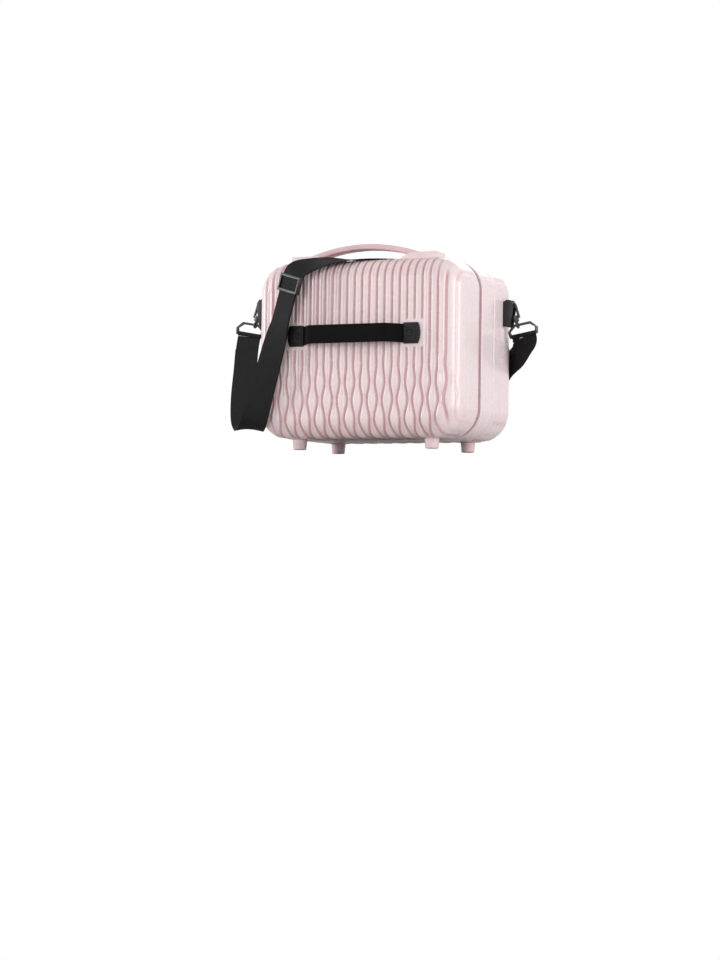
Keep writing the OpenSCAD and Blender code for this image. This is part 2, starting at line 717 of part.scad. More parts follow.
module lug_left() lug();
module lug_rivets_left() lug_rivets();
module hook_left() hook();
module gate_left() gate();
module swivel_left() swivel();
module ring_left() ring();
module lug_right() other_side() lug();
module lug_rivets_right() other_side() lug_rivets();
module hook_right() other_side() hook();
module gate_right() other_side() gate();
module swivel_right() other_side() swivel();
module ring_right() other_side() ring();

// ---- shoulder strap ----------------------------------------------------------------------

// Stations of the webbing, each with a point of its middle line and the direction of its face.
// The points are held to the case by the offsets from its back, side and top.
bar_x = eye_x + ring_off * cos(ring_tilt) + (ring_top + bar_drop) * sin(ring_tilt);
bar_z = eye_z + ring_off * sin(ring_tilt) - (ring_top + bar_drop) * cos(ring_tilt);
sleeve_r = ring_wire + 0.25 + web_t;
run_dir = [-0.268, 0, 0.9634];          // direction of the straight run, upwards
run_face = [0.4, 0.917, 0];             // its face, turned a little outwards
adj = [half_w - 66.5, y_back + 15, z_top - 35];   // middle of the strap adjuster

function along(s) = adj + s * run_dir;
seam_join = [half_w - 233.4, y_back - 81.7, z_top + 2];   // where the two halves of the strap meet
join_dir = [-0.853, -0.522, 0];         // direction of the webbing across the seam
join_gap = 0.4;                         // from the join to either end
function across(s) = seam_join + s * join_dir;
back_route = [
  [[bar_x + 0.4, lug_y, bar_z - sleeve_r], [0, -1, 0]],
  [[bar_x + 3, lug_y + 1, bar_z - 22], [0, -1, 0]],
  [[bar_x + 4, lug_y + 4, bar_z - 55], [0, -1, 0]],
  [[bar_x + 5, lug_y + 9, bar_z - 94], [0, -1, 0]],
  [[bar_x + 1, lug_y + 15, foot_h + 35], [0, -0.9, -0.45]],
  [[half_w + 21, lug_y + 24, foot_h + 19], [0, -0.5, -0.87]],
  [[half_w + 8, lug_y + 36, foot_h + 15], [0, 0.2, -0.98]],
  [[half_w - 5, y_back + 6, foot_h + 23], [0, 0.75, -0.66]],
  [[half_w - 13, y_back + 12, foot_h + 38], [-0.1, 0.98, -0.15]],
  [along(-165), [-0.1, 0.99, 0]],
  [along(-122), [0, 1, 0]],
  [along(-84), [0.15, 0.98, 0]],
  [along(-55), run_face],
  [along(-38), run_face],
  [along(-15), run_face],
  [along(0), run_face],
  [along(13), run_face],
  [along(19), run_face],
  [[half_w - 75, y_back + 11, z_top - 11], [0.3, 0.8, 0.5]],
  [[half_w - 87, y_back + 1, z_top - 2], [0.1, 0.5, 0.86]],
  [[half_w - 103, y_back - 8, z_top + 1], [0, 0.38, 0.92]],
  [[half_w - 121, y_back - 17, z_top + 2], [0, 0.28, 0.96]],
  [[half_w - 145, y_back - 28, z_top + 2.4], [0, 0.1, 0.99]],
  [[half_w - 173, y_back - 44, z_top + 2], [0, 0, 1]],
  [across(-36), [0, 0, 1]],
  [across(-13), [0, 0, 1]],
  [across(-join_gap), [0, 0, 1]]];
front_route = [
  [across(join_gap), [0, 0, 1]],
  [across(6), [0, 0, 1]],
  [across(12), [0, 0, 1]],
  [[half_w - 249.5, y_back - 100, z_top + 2], [0, 0, 1]],
  [[half_w - 252.3, y_back - 119, z_top + 2], [0, 0, 1]],
  [[half_w - 253, y_front + 38, z_top + 2], [0, 0, 1]],
  [[half_w - 253, y_front + 13, z_top - 2], [0, -0.45, 0.9]],
  [[half_w - 253, y_front + 0, z_top - 13], [0, -0.87, 0.5]],
  [[half_w - 254, y_front - 4, z_top - 30], [0, -1, 0]],
  [[half_w - 256, y_front - 5, z_top - 75], [0, -1, 0]],
  [[half_w - 262, y_front - 5.5, z_top - 145], [0, -1, 0]],
  [[half_w - 269, y_front - 6, z_top - 200], [0, -1, 0]],
  [[half_w - 272, y_front - 9, foot_h + 35], [0, -0.8, 0.5]],
  [[half_w - 274, y_front - 14, foot_h + 26], [0, 0, 1]],
  [[half_w - 276, y_front - 20, foot_h + 33], [0, 0.8, 0.5]],
  [[half_w - 279, y_front - 20.5, foot_h + 49], [0, 1, 0]],
  [[half_w - 289, y_front - 15, foot_h + 75], [0.2, 0.97, 0]],
  [[half_w - 308, y_front - 3, foot_h + 98], [0.55, 0.83, 0]],
  [[half_w - 328, y_front + 8, foot_h + 117], [0.6, 0.8, 0]],
  [[-bar_x + 13, y_front + 26, bar_z - 30], [0.35, 0.93, 0]],
  [[-bar_x - 1, -lug_y - 6, bar_z - 15], [0.1, 0.99, 0]],
  [[-bar_x - 1.2, -lug_y - 1.5, bar_z - 8], [0, 1, 0]],
  [[-bar_x - 0.4, -lug_y, bar_z - sleeve_r], [0, 1, 0]]];

function unit(v) = v / norm(v);
function blend4(a, b, c, d, t) = 0.5 * (2 * b + (c - a) * t + (2 * a - 5 * b + 4 * c - d) * t * t
  + (3 * b - a - 3 * c + d) * t * t * t);
function pick(list, i, k) = list[max(0, min(len(list) - 1, i))][k];
steps = 3;
function smooth(list, k) = concat([for (i = [0 : len(list) - 2], j = [0 : steps - 1])
  blend4(pick(list, i - 1, k), pick(list, i, k), pick(list, i + 1, k), pick(list, i + 2, k),
    j / steps)], [list[len(list) - 1][k]]);

// A flat ribbon along a route. lift moves it along its face, w and t are width and thickness.
module ribbon(route, w, t, lift = 0) {
  p = smooth(route, 0);
  f = smooth(route, 1);
  n = len(p);
  ahead = [for (i = [0 : n - 1]) unit(p[min(n - 1, i + 1)] - p[max(0, i - 1)])];
  side = [for (i = [0 : n - 1]) unit(cross(f[i], ahead[i]))];
  up = [for (i = [0 : n - 1]) cross(ahead[i], side[i])];
  corner = [[-1, -1], [1, -1], [1, 1], [-1, 1]];
  pts = [for (i = [0 : n - 1], c = corner)
    p[i] + side[i] * c[0] * w / 2 + up[i] * (lift + c[1] * t / 2)];
  walls = [for (i = [0 : n - 2], k = [0 : 3]) let (a = 4 * i + k, b = 4 * i + (k + 1) % 4)
    each [[a, a + 4, b], [b, a + 4, b + 4]]];
  polyhedron(pts, concat(walls, [[0, 1, 2], [0, 2, 3],
    [4 * n - 2, 4 * n - 3, 4 * n - 4], [4 * n - 1, 4 * n - 2, 4 * n - 4]]), convexity = 10);
}

// Sewn loop of webbing round a ring's bar.
module bar_sleeve() ring_frame() translate([-web_w / 2, 0, -bar_drop]) rotate([0, 90, 0])
  difference() {
    cylinder(web_w, r = sleeve_r, $fn = 32);
    translate([0, 0, -1]) cylinder(web_w + 2, r = ring_wire + 0.15, $fn = 32);
  }

function part_of(list, a, b) = [for (i = [a : b]) list[i]];
layer_gap = web_t + 0.3;
module strap_back() color("#222") {
  ribbon(back_route, web_w, web_t);
  bar_sleeve();
}
// Second layer of the strap, from the ring back to the adjuster's middle bar.
hem_l = 9;                 // sewn hem at the lower end of the second layer
hem_t = 1.7;
module strap_return() color("#333") {
  ribbon(part_of(back_route, 1, 15), web_w, web_t, -layer_gap);
  translate([bar_x + 3 - web_w / 2 + fit, lug_y + 1 + layer_gap + fit, bar_z - 22.5 - hem_l])
    cube([web_w - 2 * fit, hem_t, hem_l]);
}
module strap_front() color("#222") {
  ribbon(front_route, web_w, web_t);
  other_side() bar_sleeve();
}

adj_l = 26;
adj_rail = 3;
adj_bar = 2;
module strap_adjuster() {
  s = web_w / 2 + 0.8;
  low = -layer_gap - web_t / 2 - fit;
  high = web_t / 2 + fit;
  x_dir = unit(cross(run_face, run_dir));
  y_dir = cross(run_dir, x_dir);
  color("black") multmatrix([[x_dir[0], y_dir[0], run_dir[0], adj[0]],
      [x_dir[1], y_dir[1], run_dir[1], adj[1]], [x_dir[2], y_dir[2], run_dir[2], adj[2]],
      [0, 0, 0, 1]]) {
    for (k = [-1, 1]) {
      translate([k * (s + adj_rail / 2) - adj_rail / 2, low - adj_bar, -adj_l / 2])
        cube([adj_rail, high - low + 2 * adj_bar, adj_l]);
      translate([-s - 1, high, k * (adj_l / 2 - 2) - 2]) cube([2 * s + 2, adj_bar, 4]);
    }
    translate([-s - 1, low - adj_bar, -2.5]) cube([2 * s + 2, adj_bar, 5]);
  }
}

// ---- inside ------------------------------------------------------------------------------

inner_back = y_back - skin - fit - lining_t;      // face of the back lining
inner_front = y_front + skin + fit + lining_t;    // face of the lid's lining

// A row of elastic loops sewn along a tape.
loop_t = 1;
module brush_loops() color("dimgray") {
  z = z_mid + 30;
  h = 30;
  total = loop_count * loop_w;
  translate([0, inner_back, z]) {
    translate([-total / 2 - 4, -loop_t - 0.05, 0]) cube([total + 8, loop_t, h]);
    for (i = [0 : loop_count - 1]) translate([-total / 2 + (i + 0.5) * loop_w, -loop_t, 0])
      difference() {
        cylinder(h, r = loop_w / 2 - 1);
        translate([0, 0, -1]) cylinder(h + 2, r = loop_w / 2 - 1 - loop_t);
        translate([-loop_w, 0, -1]) cube([2 * loop_w, loop_w, h + 2]);
      }
  }
}

packing_z = z_mid - 45;
packing_half = half_w - edge_r - 12;
module packing_strap() color("dimgray") for (s = [-1, 1])
  translate([s > 0 ? 22 : -packing_half, inner_back - 1.25, packing_z - 12.5])
    cube([packing_half - 22, 1.2, 25]);
module buckle() color("black") translate([0, inner_back, packing_z]) {
  difference() {
    translate([-21.7, -6, -15]) cube([43.4, 5.9, 30]);
    for (s = [-1, 1]) translate([s * 14 - 4, -7, -11]) cube([8, 5, 22]);
  }
}

pocket_z = z_mid - 85;
module mesh_pocket() color("gray") translate([-pocket_w / 2, inner_front + 3.05, pocket_z])
  cube([pocket_w, 1, pocket_h]);
module pocket_binding() color("dimgray") difference() {
  translate([-pocket_w / 2 - 5, inner_front + 0.05, pocket_z - 5])
    cube([pocket_w + 10, 5, pocket_h + 8]);
  translate([-pocket_w / 2 + 5, inner_front - 1, pocket_z + 5])
    cube([pocket_w - 10, 8, pocket_h + 10]);
  translate([-pocket_w / 2 - 0.05, inner_front + 3, pocket_z - 0.05])
    cube([pocket_w + 0.1, 1.1, pocket_h + 10]);
}

back_shell();
back_lining();
back_zip_tape();
back_zip_teeth();
back_hinge_tape();
back_feet();
back_foot_screws();
handle_grip();
handle_pod_left();
handle_pod_right();
handle_screws();
handle_backing_plates();
trolley_band();
band_plate_left();
band_plate_right();
band_rivets();
band_washers();
lug_left();
lug_rivets_left();
ring_left();
swivel_left();
strap_back();
strap_return();
packing_strap();
buckle();
brush_loops();
zip_end_tabs();
lid_shell();
lid_lining();
lid_zip_tape();
lid_zip_teeth();
lid_hinge_tape();
lid_feet();
lid_foot_screws();
lug_right();
lug_rivets_right();
ring_right();
swivel_right();
strap_front();
mesh_pocket();
pocket_binding();
zip_slider_a();
zip_pull_a();
zip_slider_b();
zip_pull_b();
strap_adjuster();
hook_left();
gate_left();
hook_right();
gate_right();
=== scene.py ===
import math

import bpy
import numpy as np
from mathutils import Matrix, Vector


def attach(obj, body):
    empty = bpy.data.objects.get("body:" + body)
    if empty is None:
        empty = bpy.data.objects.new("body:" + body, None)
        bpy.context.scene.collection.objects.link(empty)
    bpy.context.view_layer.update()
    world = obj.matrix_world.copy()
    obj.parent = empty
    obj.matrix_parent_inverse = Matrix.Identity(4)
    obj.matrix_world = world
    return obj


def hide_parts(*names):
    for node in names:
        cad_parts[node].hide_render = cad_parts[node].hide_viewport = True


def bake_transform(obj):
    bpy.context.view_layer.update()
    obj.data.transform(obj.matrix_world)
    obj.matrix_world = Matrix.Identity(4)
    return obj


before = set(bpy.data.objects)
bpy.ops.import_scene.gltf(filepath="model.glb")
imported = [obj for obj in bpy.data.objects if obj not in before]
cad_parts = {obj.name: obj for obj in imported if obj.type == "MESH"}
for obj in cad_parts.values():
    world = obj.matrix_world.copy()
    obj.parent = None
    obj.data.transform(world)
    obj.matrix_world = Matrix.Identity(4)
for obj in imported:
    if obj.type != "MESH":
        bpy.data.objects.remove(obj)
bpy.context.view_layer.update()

# ---------------------------------------------------------------- sizes, in millimetres
MM = 0.001
CASE_W, SHELL_H, FOOT_H = 330, 260, 15
BACK_DEPTH, COLLAR_W, LID_DEPTH = 76, 42, 80
CORNER_R, EDGE_R, SKIN = 45, 30, 3.4
Z_MID, Z_TOP, HALF_W = FOOT_H + SHELL_H / 2, FOOT_H + SHELL_H, CASE_W / 2
Y_BACK, Y_RIM, Y_SEAM, Y_LID_RIM, Y_FRONT = 104, 28, 23, 18, -104
Y_HANDLE, BAND_Z, RIVET_X = 62, 164, 91
RIB_PITCH, RIB_H, RIB_COUNT, LAST_GROOVE = 12.16, 2.1, 13, 163.5
SWAY, SWAY_PERIOD, SWAY_Z, SWAY_LOW, SWAY_HIGH = 3.1, 56, 97, 66, 152
WEB_W, WEB_T = 38, 1.3
BAND_W, BAND_T, BAND_OUT = 27, 1.4, 23
POD_X, FOOT_X, FOOT_Y, FOOT_PAD = 89, 108, 62, 13.5


def smoothstep(value, low, high):
    t = np.clip((value - low) / (high - low), 0, 1)
    return t * t * (3 - 2 * t)


# ---------------------------------------------------------------- camera, lamps and floor
def place_camera():
    bpy.ops.object.camera_add()
    camera = bpy.context.object
    camera.name = "camera"
    camera.data.sensor_fit = "VERTICAL"
    camera.data.sensor_height = 36
    camera.data.lens = 106.1
    camera.data.clip_end = 60
    right, up = Vector((-0.8917, -0.4524, 0.014)), Vector((-0.0044, 0.0395, 0.9992))
    back = right.cross(up).normalized()
    up = back.cross(right).normalized()
    place = Matrix((right.normalized(), up, back)).transposed().to_4x4()
    place.translation = Vector((-1864.1, 3746.5, -199.1)) * MM
    camera.matrix_world = place
    bpy.context.scene.camera = camera


def softbox(name, place, aim, width, height, watts):
    bpy.ops.object.light_add(type="AREA", location=place)
    lamp = bpy.context.object
    lamp.name = name
    lamp.rotation_euler = (Vector(aim) - Vector(place)).to_track_quat("-Z", "Y").to_euler()
    lamp.data.shape = "RECTANGLE"
    lamp.data.size, lamp.data.size_y = width, height
    lamp.data.energy = watts


def light_the_studio():
    bpy.context.scene.view_settings.view_transform = "Standard"
    softbox("softbox_side", (-2.6, 0.6, 0.7), (0, 0, 0.12), 1.6, 1.3, 38)
    softbox("softbox_far_side", (2.6, 1.05, 0.6), (0, 0, 0.12), 0.7, 1.1, 38)
    softbox("softbox_back", (0.2, 3.0, 0.5), (0, 0, 0.12), 1.2, 0.9, 17)
    softbox("softbox_front", (0.8, -2.8, 1.4), (0, 0, 0.15), 2.4, 2.0, 22)
    softbox("softbox_top", (0.2, 0.2, 2.6), (0, 0, 0.15), 1.6, 1.6, 4)
    world = bpy.data.worlds.new("studio")
    bpy.context.scene.world = world
    world.use_nodes = True
    tree = world.node_tree
    tree.nodes.clear()
    path = add(tree, "LightPath")
    seen = add(tree, "Math", {0: path.outputs["Is Camera Ray"],
                              1: path.outputs["Is Glossy Ray"]}, operation="MAXIMUM")
    shown = add(tree, "Math", {0: seen.outputs[0], 1: path.outputs["Is Transmission Ray"]},
                operation="MAXIMUM")
    strength = add(tree, "Math", {0: shown.outputs[0], 1: 0.6, 2: 0.4},
                   operation="MULTIPLY_ADD")
    sky = add(tree, "Background", {"Color": (1, 1, 1, 1), "Strength": strength.outputs[0]})
    add(tree, "OutputWorld", {"Surface": sky.outputs[0]})


def lay_the_floor():
    clear_selection()
    bpy.ops.mesh.primitive_circle_add(vertices=96, radius=4, fill_type="NGON")
    floor = bpy.context.object
    floor.name = "floor"
    tree = new_material("studio_floor", floor)
    path, side = add(tree, "LightPath"), add(tree, "NewGeometry")
    matt = add(tree, "BsdfDiffuse", {"Color": (0.8, 0.8, 0.8, 1)})
    glow = add(tree, "Emission", {"Color": (1, 1, 1, 1), "Strength": 0.24})
    pale = add(tree, "AddShader", {0: matt.outputs[0], 1: glow.outputs[0]})
    bright = add(tree, "MixShader", {0: path.outputs["Is Camera Ray"], 1: matt.outputs[0],
                                     2: pale.outputs[0]})
    below = add(tree, "BsdfTransparent")
    both = add(tree, "MixShader", {0: side.outputs["Backfacing"], 1: bright.outputs[0],
                                   2: below.outputs[0]})
    add(tree, "OutputMaterial", {"Surface": both.outputs[0]})


# ---------------------------------------------------------------- small helpers
def clear_selection():
    if bpy.context.mode != "OBJECT":
        bpy.ops.object.mode_set(mode="OBJECT")
    bpy.ops.object.select_all(action="DESELECT")


def add(tree, kind, inputs=None, stops=(), **settings):
    """One node, with its settings, its numbers, its links and its colour stops."""
    node = tree.nodes.new("ShaderNode" + kind)
    for stop, (place, code) in zip(node.color_ramp.elements if stops else (), stops):
        stop.position, stop.color = place, linear(code)
    for key, value in settings.items():
        setattr(node, key, value)
    for key, value in (inputs or {}).items():
        if isinstance(value, bpy.types.NodeSocket):
            tree.links.new(value, node.inputs[key])
        else:
            node.inputs[key].default_value = value
    return node


def linear(code):
    """An sRGB hex value as the linear colour that a shader takes."""
    parts = [int(code[i:i + 2], 16) / 255 for i in (0, 2, 4)]
    return tuple([p / 12.92 if p < 0.04045 else ((p + 0.055) / 1.055) ** 2.4
                  for p in parts] + [1])


def new_material(name, *objects):
    finish = bpy.data.materials.new(name)
    finish.use_nodes = True
    finish.node_tree.nodes.clear()
    for obj in objects:
        obj.data.materials.clear()
        obj.data.materials.append(finish)
    return finish.node_tree


def get_mesh(obj):
    """The corner points of a mesh as an array of millimetres."""
    points = np.empty(len(obj.data.vertices) * 3)
    obj.data.vertices.foreach_get("co", points)
    return points.reshape(-1, 3) / MM


def set_mesh(obj, points):
    obj.data.vertices.foreach_set("co", (np.asarray(points) * MM).ravel())
    obj.data.update()


def face_outwards(obj):
    clear_selection()
    obj.select_set(True)
    bpy.context.view_layer.objects.active = obj
    bpy.ops.object.mode_set(mode="EDIT")
    bpy.ops.mesh.select_all(action="SELECT")
    bpy.ops.mesh.normals_make_consistent(inside=False)
    bpy.ops.object.mode_set(mode="OBJECT")


def shade(obj, degrees=40):
    clear_selection()
    obj.select_set(True)
    bpy.context.view_layer.objects.active = obj
    bpy.ops.object.shade_smooth_by_angle(angle=math.radians(degrees))


def write_uv(obj, across, length):
    """A UV map in metres along the cloth, from each corner point's place on the cut."""
    corner_of = np.empty(len(obj.data.loops), int)
    obj.data.loops.foreach_get("vertex_index", corner_of)
    uv = np.stack([across[corner_of], length[corner_of]], axis=1) * MM
    obj.data.uv_layers[0].data.foreach_set("uv", uv.ravel())


def apply_modifier(obj, kind, **settings):
    clear_selection()
    obj.select_set(True)
    bpy.context.view_layer.objects.active = obj
    step = obj.modifiers.new(kind.lower(), kind)
    for key, value in settings.items():
        setattr(step, key, value)
    bpy.ops.object.modifier_apply(modifier=step.name)


def grid(name, across, along):
    """A flat grid one millimetre square, its corners numbered by column and row."""
    clear_selection()
    bpy.ops.mesh.primitive_grid_add(x_subdivisions=across, y_subdivisions=along, size=MM)
    obj = bpy.context.object
    obj.name = obj.data.name = name
    points = get_mesh(obj)
    column = np.rint((points[:, 0] + 0.5) * across).astype(int)
    row = np.rint((points[:, 1] + 0.5) * along).astype(int)
    return obj, column, row


def fit_out(obj, body, slot, *nodes):
    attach(obj, body)
    if nodes:
        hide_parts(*nodes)
    return obj


def sheet(obj, body, thick, nodes=(), blend=None):
    """Gives cloth its thickness from its flat cut in millimetres, hides the CAD parts it
    replaces and hangs it on its body, or bakes it in place when blend is given.
    """
    apply_modifier(obj, "SOLIDIFY", thickness=thick * MM, offset=0)
    face_outwards(obj)
    shade(obj, 50)
    if nodes:
        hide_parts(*nodes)
    if blend:
        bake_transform(obj)
    else:
        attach(obj, body)
    return obj


def repeated(name, count, size, ease):
    """Many copies of one small block with eased edges, and which copy each point is on."""
    clear_selection()
    bpy.ops.mesh.primitive_cube_add(size=MM)
    obj = bpy.context.object
    obj.name = obj.data.name = name
    bpy.ops.object.mode_set(mode="EDIT")
    bpy.ops.mesh.select_all(action="SELECT")
    bpy.ops.transform.resize(value=size)
    bpy.ops.mesh.bevel(offset=ease * MM, segments=1, affect="EDGES")
    bpy.ops.object.mode_set(mode="OBJECT")
    one = len(obj.data.vertices)
    apply_modifier(obj, "ARRAY", count=count, use_relative_offset=False,
                   use_constant_offset=True, constant_offset_displace=(0, 0, 0))
    return obj, np.arange(len(obj.data.vertices)) // one, get_mesh(obj)


# ---------------------------------------------------------------- the two ribbed shells
FACE_X, FACE_Z, FACE_R = HALF_W - EDGE_R, SHELL_H / 2 - EDGE_R, CORNER_R - EDGE_R
BAND_CELLS, MIDDLE_X, MIDDLE_Z = 14, 240, 64


def spaced(index, half, middle_cells):
    """Lines of the face's grid, closer together beside its corners."""
    inner = half - FACE_R
    low = -half + index * FACE_R / BAND_CELLS
    mid = -inner + (index - BAND_CELLS) * 2 * inner / middle_cells
    high = inner + (index - BAND_CELLS - middle_cells) * FACE_R / BAND_CELLS
    return np.where(index < BAND_CELLS, low,
                    np.where(index > BAND_CELLS + middle_cells, high, mid))


def ribs(x, z):
    """Depth of the ribbed surface below its crests. The ribs are straight at the top,
    and lower down neighbours bulge and narrow in turn."""
    past = np.clip((np.abs(x) - FACE_X) / EDGE_R, 0, 1)
    s = np.sign(x) * np.where(past > 0, FACE_X + EDGE_R * np.arcsin(past), np.abs(x))
    sway = -SWAY * (1 - smoothstep(z, SWAY_LOW, SWAY_HIGH))
    sway = sway * np.cos(2 * math.pi * (z - SWAY_Z) / SWAY_PERIOD)
    near = np.floor(s / RIB_PITCH)
    left, right = np.full(s.shape, -1e6), np.full(s.shape, 1e6)
    for k in (near - 1, near, near + 1, near + 2):
        at = np.where(np.abs(k) < RIB_COUNT, k * RIB_PITCH,
                      np.sign(k) * (LAST_GROOVE + (np.abs(k) - RIB_COUNT) * RIB_PITCH))
        groove = at + np.where(k % 2 == 0, 1, -1) * sway
        left = np.where(groove <= s, np.maximum(left, groove), left)
        right = np.where(groove > s, np.minimum(right, groove), right)
    width = right - left
    t = np.abs(2 * (s - left) / width - 1)
    narrow = np.clip(1 - width / RIB_PITCH, 0, 1)
    dip = 0.32 * (0.5 + 0.5 * np.cos(math.pi * np.clip(t / 0.52, 0, 1)))
    dip = dip * (1 - smoothstep(width, RIB_PITCH * 1.1, RIB_PITCH * 1.45))
    wall = smoothstep(t, 0.5, 0.86)
    depth = RIB_H * (0.4 * narrow + (1 - 0.4 * narrow) * (dip + wall))
    outer = LAST_GROOVE - np.sign(s) * sway
    faint = 1 - 0.5 * smoothstep(np.abs(s), outer - 7, outer - 2)
    run_out = 0.5 * RIB_H * np.clip(1 - (np.abs(s) - outer) / 6, 0, 1) ** 3
    return np.where(np.abs(s) > outer, run_out, depth * faint)


def pad(a, b, mid_a, mid_b, half_a, half_b):
    """1 outside a smooth pad under a fitting, 0 on it."""
    da, db = np.abs(a - mid_a) - half_a + 3, np.abs(b - mid_b) - half_b + 3
    outside = np.hypot(np.maximum(da, 0), np.maximum(db, 0)) + np.minimum(np.maximum(da, db), 0)
    return smoothstep(outside - 3, -0.6, 1.6)


def loop_table(depth, ribbed):
    """Offset, depth, two parts of the normal and rib weight of each ring of a shell,
    from the face round its edge to the rim and back up the inside."""
    turn = [math.radians(3 * k) for k in range(1, 31)]
    rings = [(EDGE_R * math.sin(t), EDGE_R * (1 - math.cos(t)), math.sin(t), math.cos(t), 1)
             for t in turn]
    straight = [34, 40, 48, 56] if depth < 100 else [34, 42, 50, 58, 66]
    walls = straight + [ribbed - back for back in (9, 7, 6, 5, 4)]
    rings += [(EDGE_R, d, 1, 0, 1 - float(smoothstep(d, ribbed - 8, ribbed - 4.5)))
              for d in walls]
    if depth > 100:
        notch = [(-0.7, 0), (-0.35, 0.5), (0, 0.75), (0.35, 0.5), (0.7, 0)]
        rings += [(EDGE_R - cut, ribbed + at, 1, 0, 0) for at, cut in notch]
        rings += [(EDGE_R, d, 1, 0, 0)
                  for d in (ribbed + 3, ribbed + 14, ribbed + 28, depth - 3)]
    rings += [(EDGE_R, depth - 0.9, 1, 0, 0), (EDGE_R - 0.25, depth - 0.25, 1, 0, 0),
              (EDGE_R - 0.9, depth, 0, -1, 0), (EDGE_R - 2.5, depth, 0, -1, 0)]
    inner = EDGE_R - SKIN
    rings += [(inner, d, -1, 0, 0) for d in (depth - 0.4, depth - 12, EDGE_R + 12, EDGE_R)]
    rings += [(inner * math.sin(t), EDGE_R - inner * math.cos(t), 0, 0, 0)
              for t in (math.radians(d) for d in (75, 60, 45, 30, 15, 0))]
    return np.array(rings)


def pan(name, middle_x, middle_z, table):
    """A face with rounded corners and loops extruded from its border, each corner point
    with its place on the face, the way out of the case there and its row of the table."""
    obj, _, _ = grid(name, 2 * BAND_CELLS + middle_x, 2 * BAND_CELLS + middle_z)
    bpy.ops.object.mode_set(mode="EDIT")
    bpy.ops.mesh.select_mode(type="EDGE")
    bpy.ops.mesh.select_all(action="SELECT")
    bpy.ops.mesh.region_to_loop()
    for _ in table:
        bpy.ops.mesh.extrude_edges_move(TRANSFORM_OT_translate={"value": (0, 0, -MM)})
    bpy.ops.object.mode_set(mode="OBJECT")
    points = get_mesh(obj)
    ring = np.rint(-points[:, 2]).astype(int)
    column = np.rint((points[:, 0] + 0.5) * (2 * BAND_CELLS + middle_x))
    row = np.rint((points[:, 1] + 0.5) * (2 * BAND_CELLS + middle_z))
    x, z = spaced(column, FACE_X, middle_x), spaced(row, FACE_Z, middle_z)
    p = np.maximum(np.abs(x) - (FACE_X - FACE_R), 0) / FACE_R
    q = np.maximum(np.abs(z) - (FACE_Z - FACE_R), 0) / FACE_R
    corner = (p > 0) & (q > 0)
    big = np.maximum(np.maximum(p, q), 1e-9)
    angle = np.where(q <= p, math.pi / 4 * q / big, math.pi / 2 - math.pi / 4 * p / big)
    nx = np.where(corner, np.cos(angle), (p >= q) & (p > 0)) * np.sign(x)
    nz = np.where(corner, np.sin(angle), (q > p)) * np.sign(z)
    x = np.where(corner, np.sign(x) * (FACE_X - FACE_R) + FACE_R * big * nx, x)
    z = np.where(corner, np.sign(z) * (FACE_Z - FACE_R) + FACE_R * big * nz, z)
    return obj, ring, x, z, nx, nz


def turn_round(points):
    """The same place on the other half of the case."""
    return points * np.array((-1, -1, 1))


def shell(name, depth, ribbed, fittings, turned):
    table = loop_table(depth, ribbed)
    obj, ring, x, z, nx, nz = pan(name, MIDDLE_X, MIDDLE_Z, table)
    bpy.ops.object.mode_set(mode="EDIT")
    bpy.ops.mesh.edge_face_add()
    bpy.ops.object.mode_set(mode="OBJECT")
    rows = np.vstack([[0, 0, 0, 1, 1], table])[ring]
    off, dep, side, out, weight = rows.T
    x, z = x + off * nx, z + off * nz
    high = z + Z_MID
    at_corner = smoothstep(np.abs(x), 126, 146) * smoothstep(np.abs(z), 98, 116)
    cut = ribs(x, high) * weight * (1 - 0.85 * at_corner)
    for wall, box in fittings:
        on = {"face": dep < 12, "top": (z > 122) & (dep > 18), "base": (z < -122) & (dep > 18)}
        first = x if not turned else -x
        second = high if wall == "face" else Y_BACK - dep if not turned else dep + Y_FRONT
        cut = np.where(on[wall], cut * pad(first, second, *box), cut)
    side_wall = smoothstep(np.abs(nx * side), 0.9, 1.0) * (ring <= 39)
    cut = cut + side_wall * 0.14 * (0.5 + 0.5 * np.cos(2 * math.pi * dep / 11.6))
    length = np.maximum(np.hypot(side, out), 1e-9)
    x, z = x - cut * nx * side / length, z - cut * nz * side / length
    points = np.stack([x, Y_BACK - dep - cut * out / length, z + Z_MID], axis=1)
    set_mesh(obj, turn_round(points) if turned else points)
    # painted shade: each point's depth below the crests, as a share of the rib height, stored
    # so that the finish darkens the pink in the grooves
    hollow = obj.data.attributes.new("hollow", "FLOAT", "POINT")
    hollow.data.foreach_set("value", np.clip(cut / RIB_H, 0, 1))
    face_outwards(obj)
    shade(obj, 60)
    return obj


def lining(name, depth, body, node, turned):
    """A formed cloth liner that lies against the inside of its shell."""
    r = EDGE_R - SKIN - 0.3 - 0.6
    bends = [(r * math.sin(t), EDGE_R - r * math.cos(t))
             for t in (math.radians(9 * k) for k in range(1, 11))]
    walls = [(r, EDGE_R + k * (depth - 14 - EDGE_R) / 6) for k in range(1, 7)]
    table = np.array(bends + walls)
    obj, ring, x, z, nx, nz = pan(name, 48, 34, table)
    off, dep = np.vstack([[0, EDGE_R - r], table])[ring].T
    cloth = np.where(ring <= 10, ring * math.radians(9) * r, math.pi / 2 * r + dep - EDGE_R)
    pucker = 0.35 * np.sin(x / 9) * np.sin(z / 11 + 1) * smoothstep(cloth, 0, 30)
    points = np.stack([x + (off - np.abs(pucker)) * nx, Y_BACK - dep,
                       z + Z_MID + (off - np.abs(pucker)) * nz], axis=1)
    set_mesh(obj, turn_round(points) if turned else points)
    write_uv(obj, x + cloth * nx, z + cloth * nz)
    return sheet(obj, body, 1.2, [node])


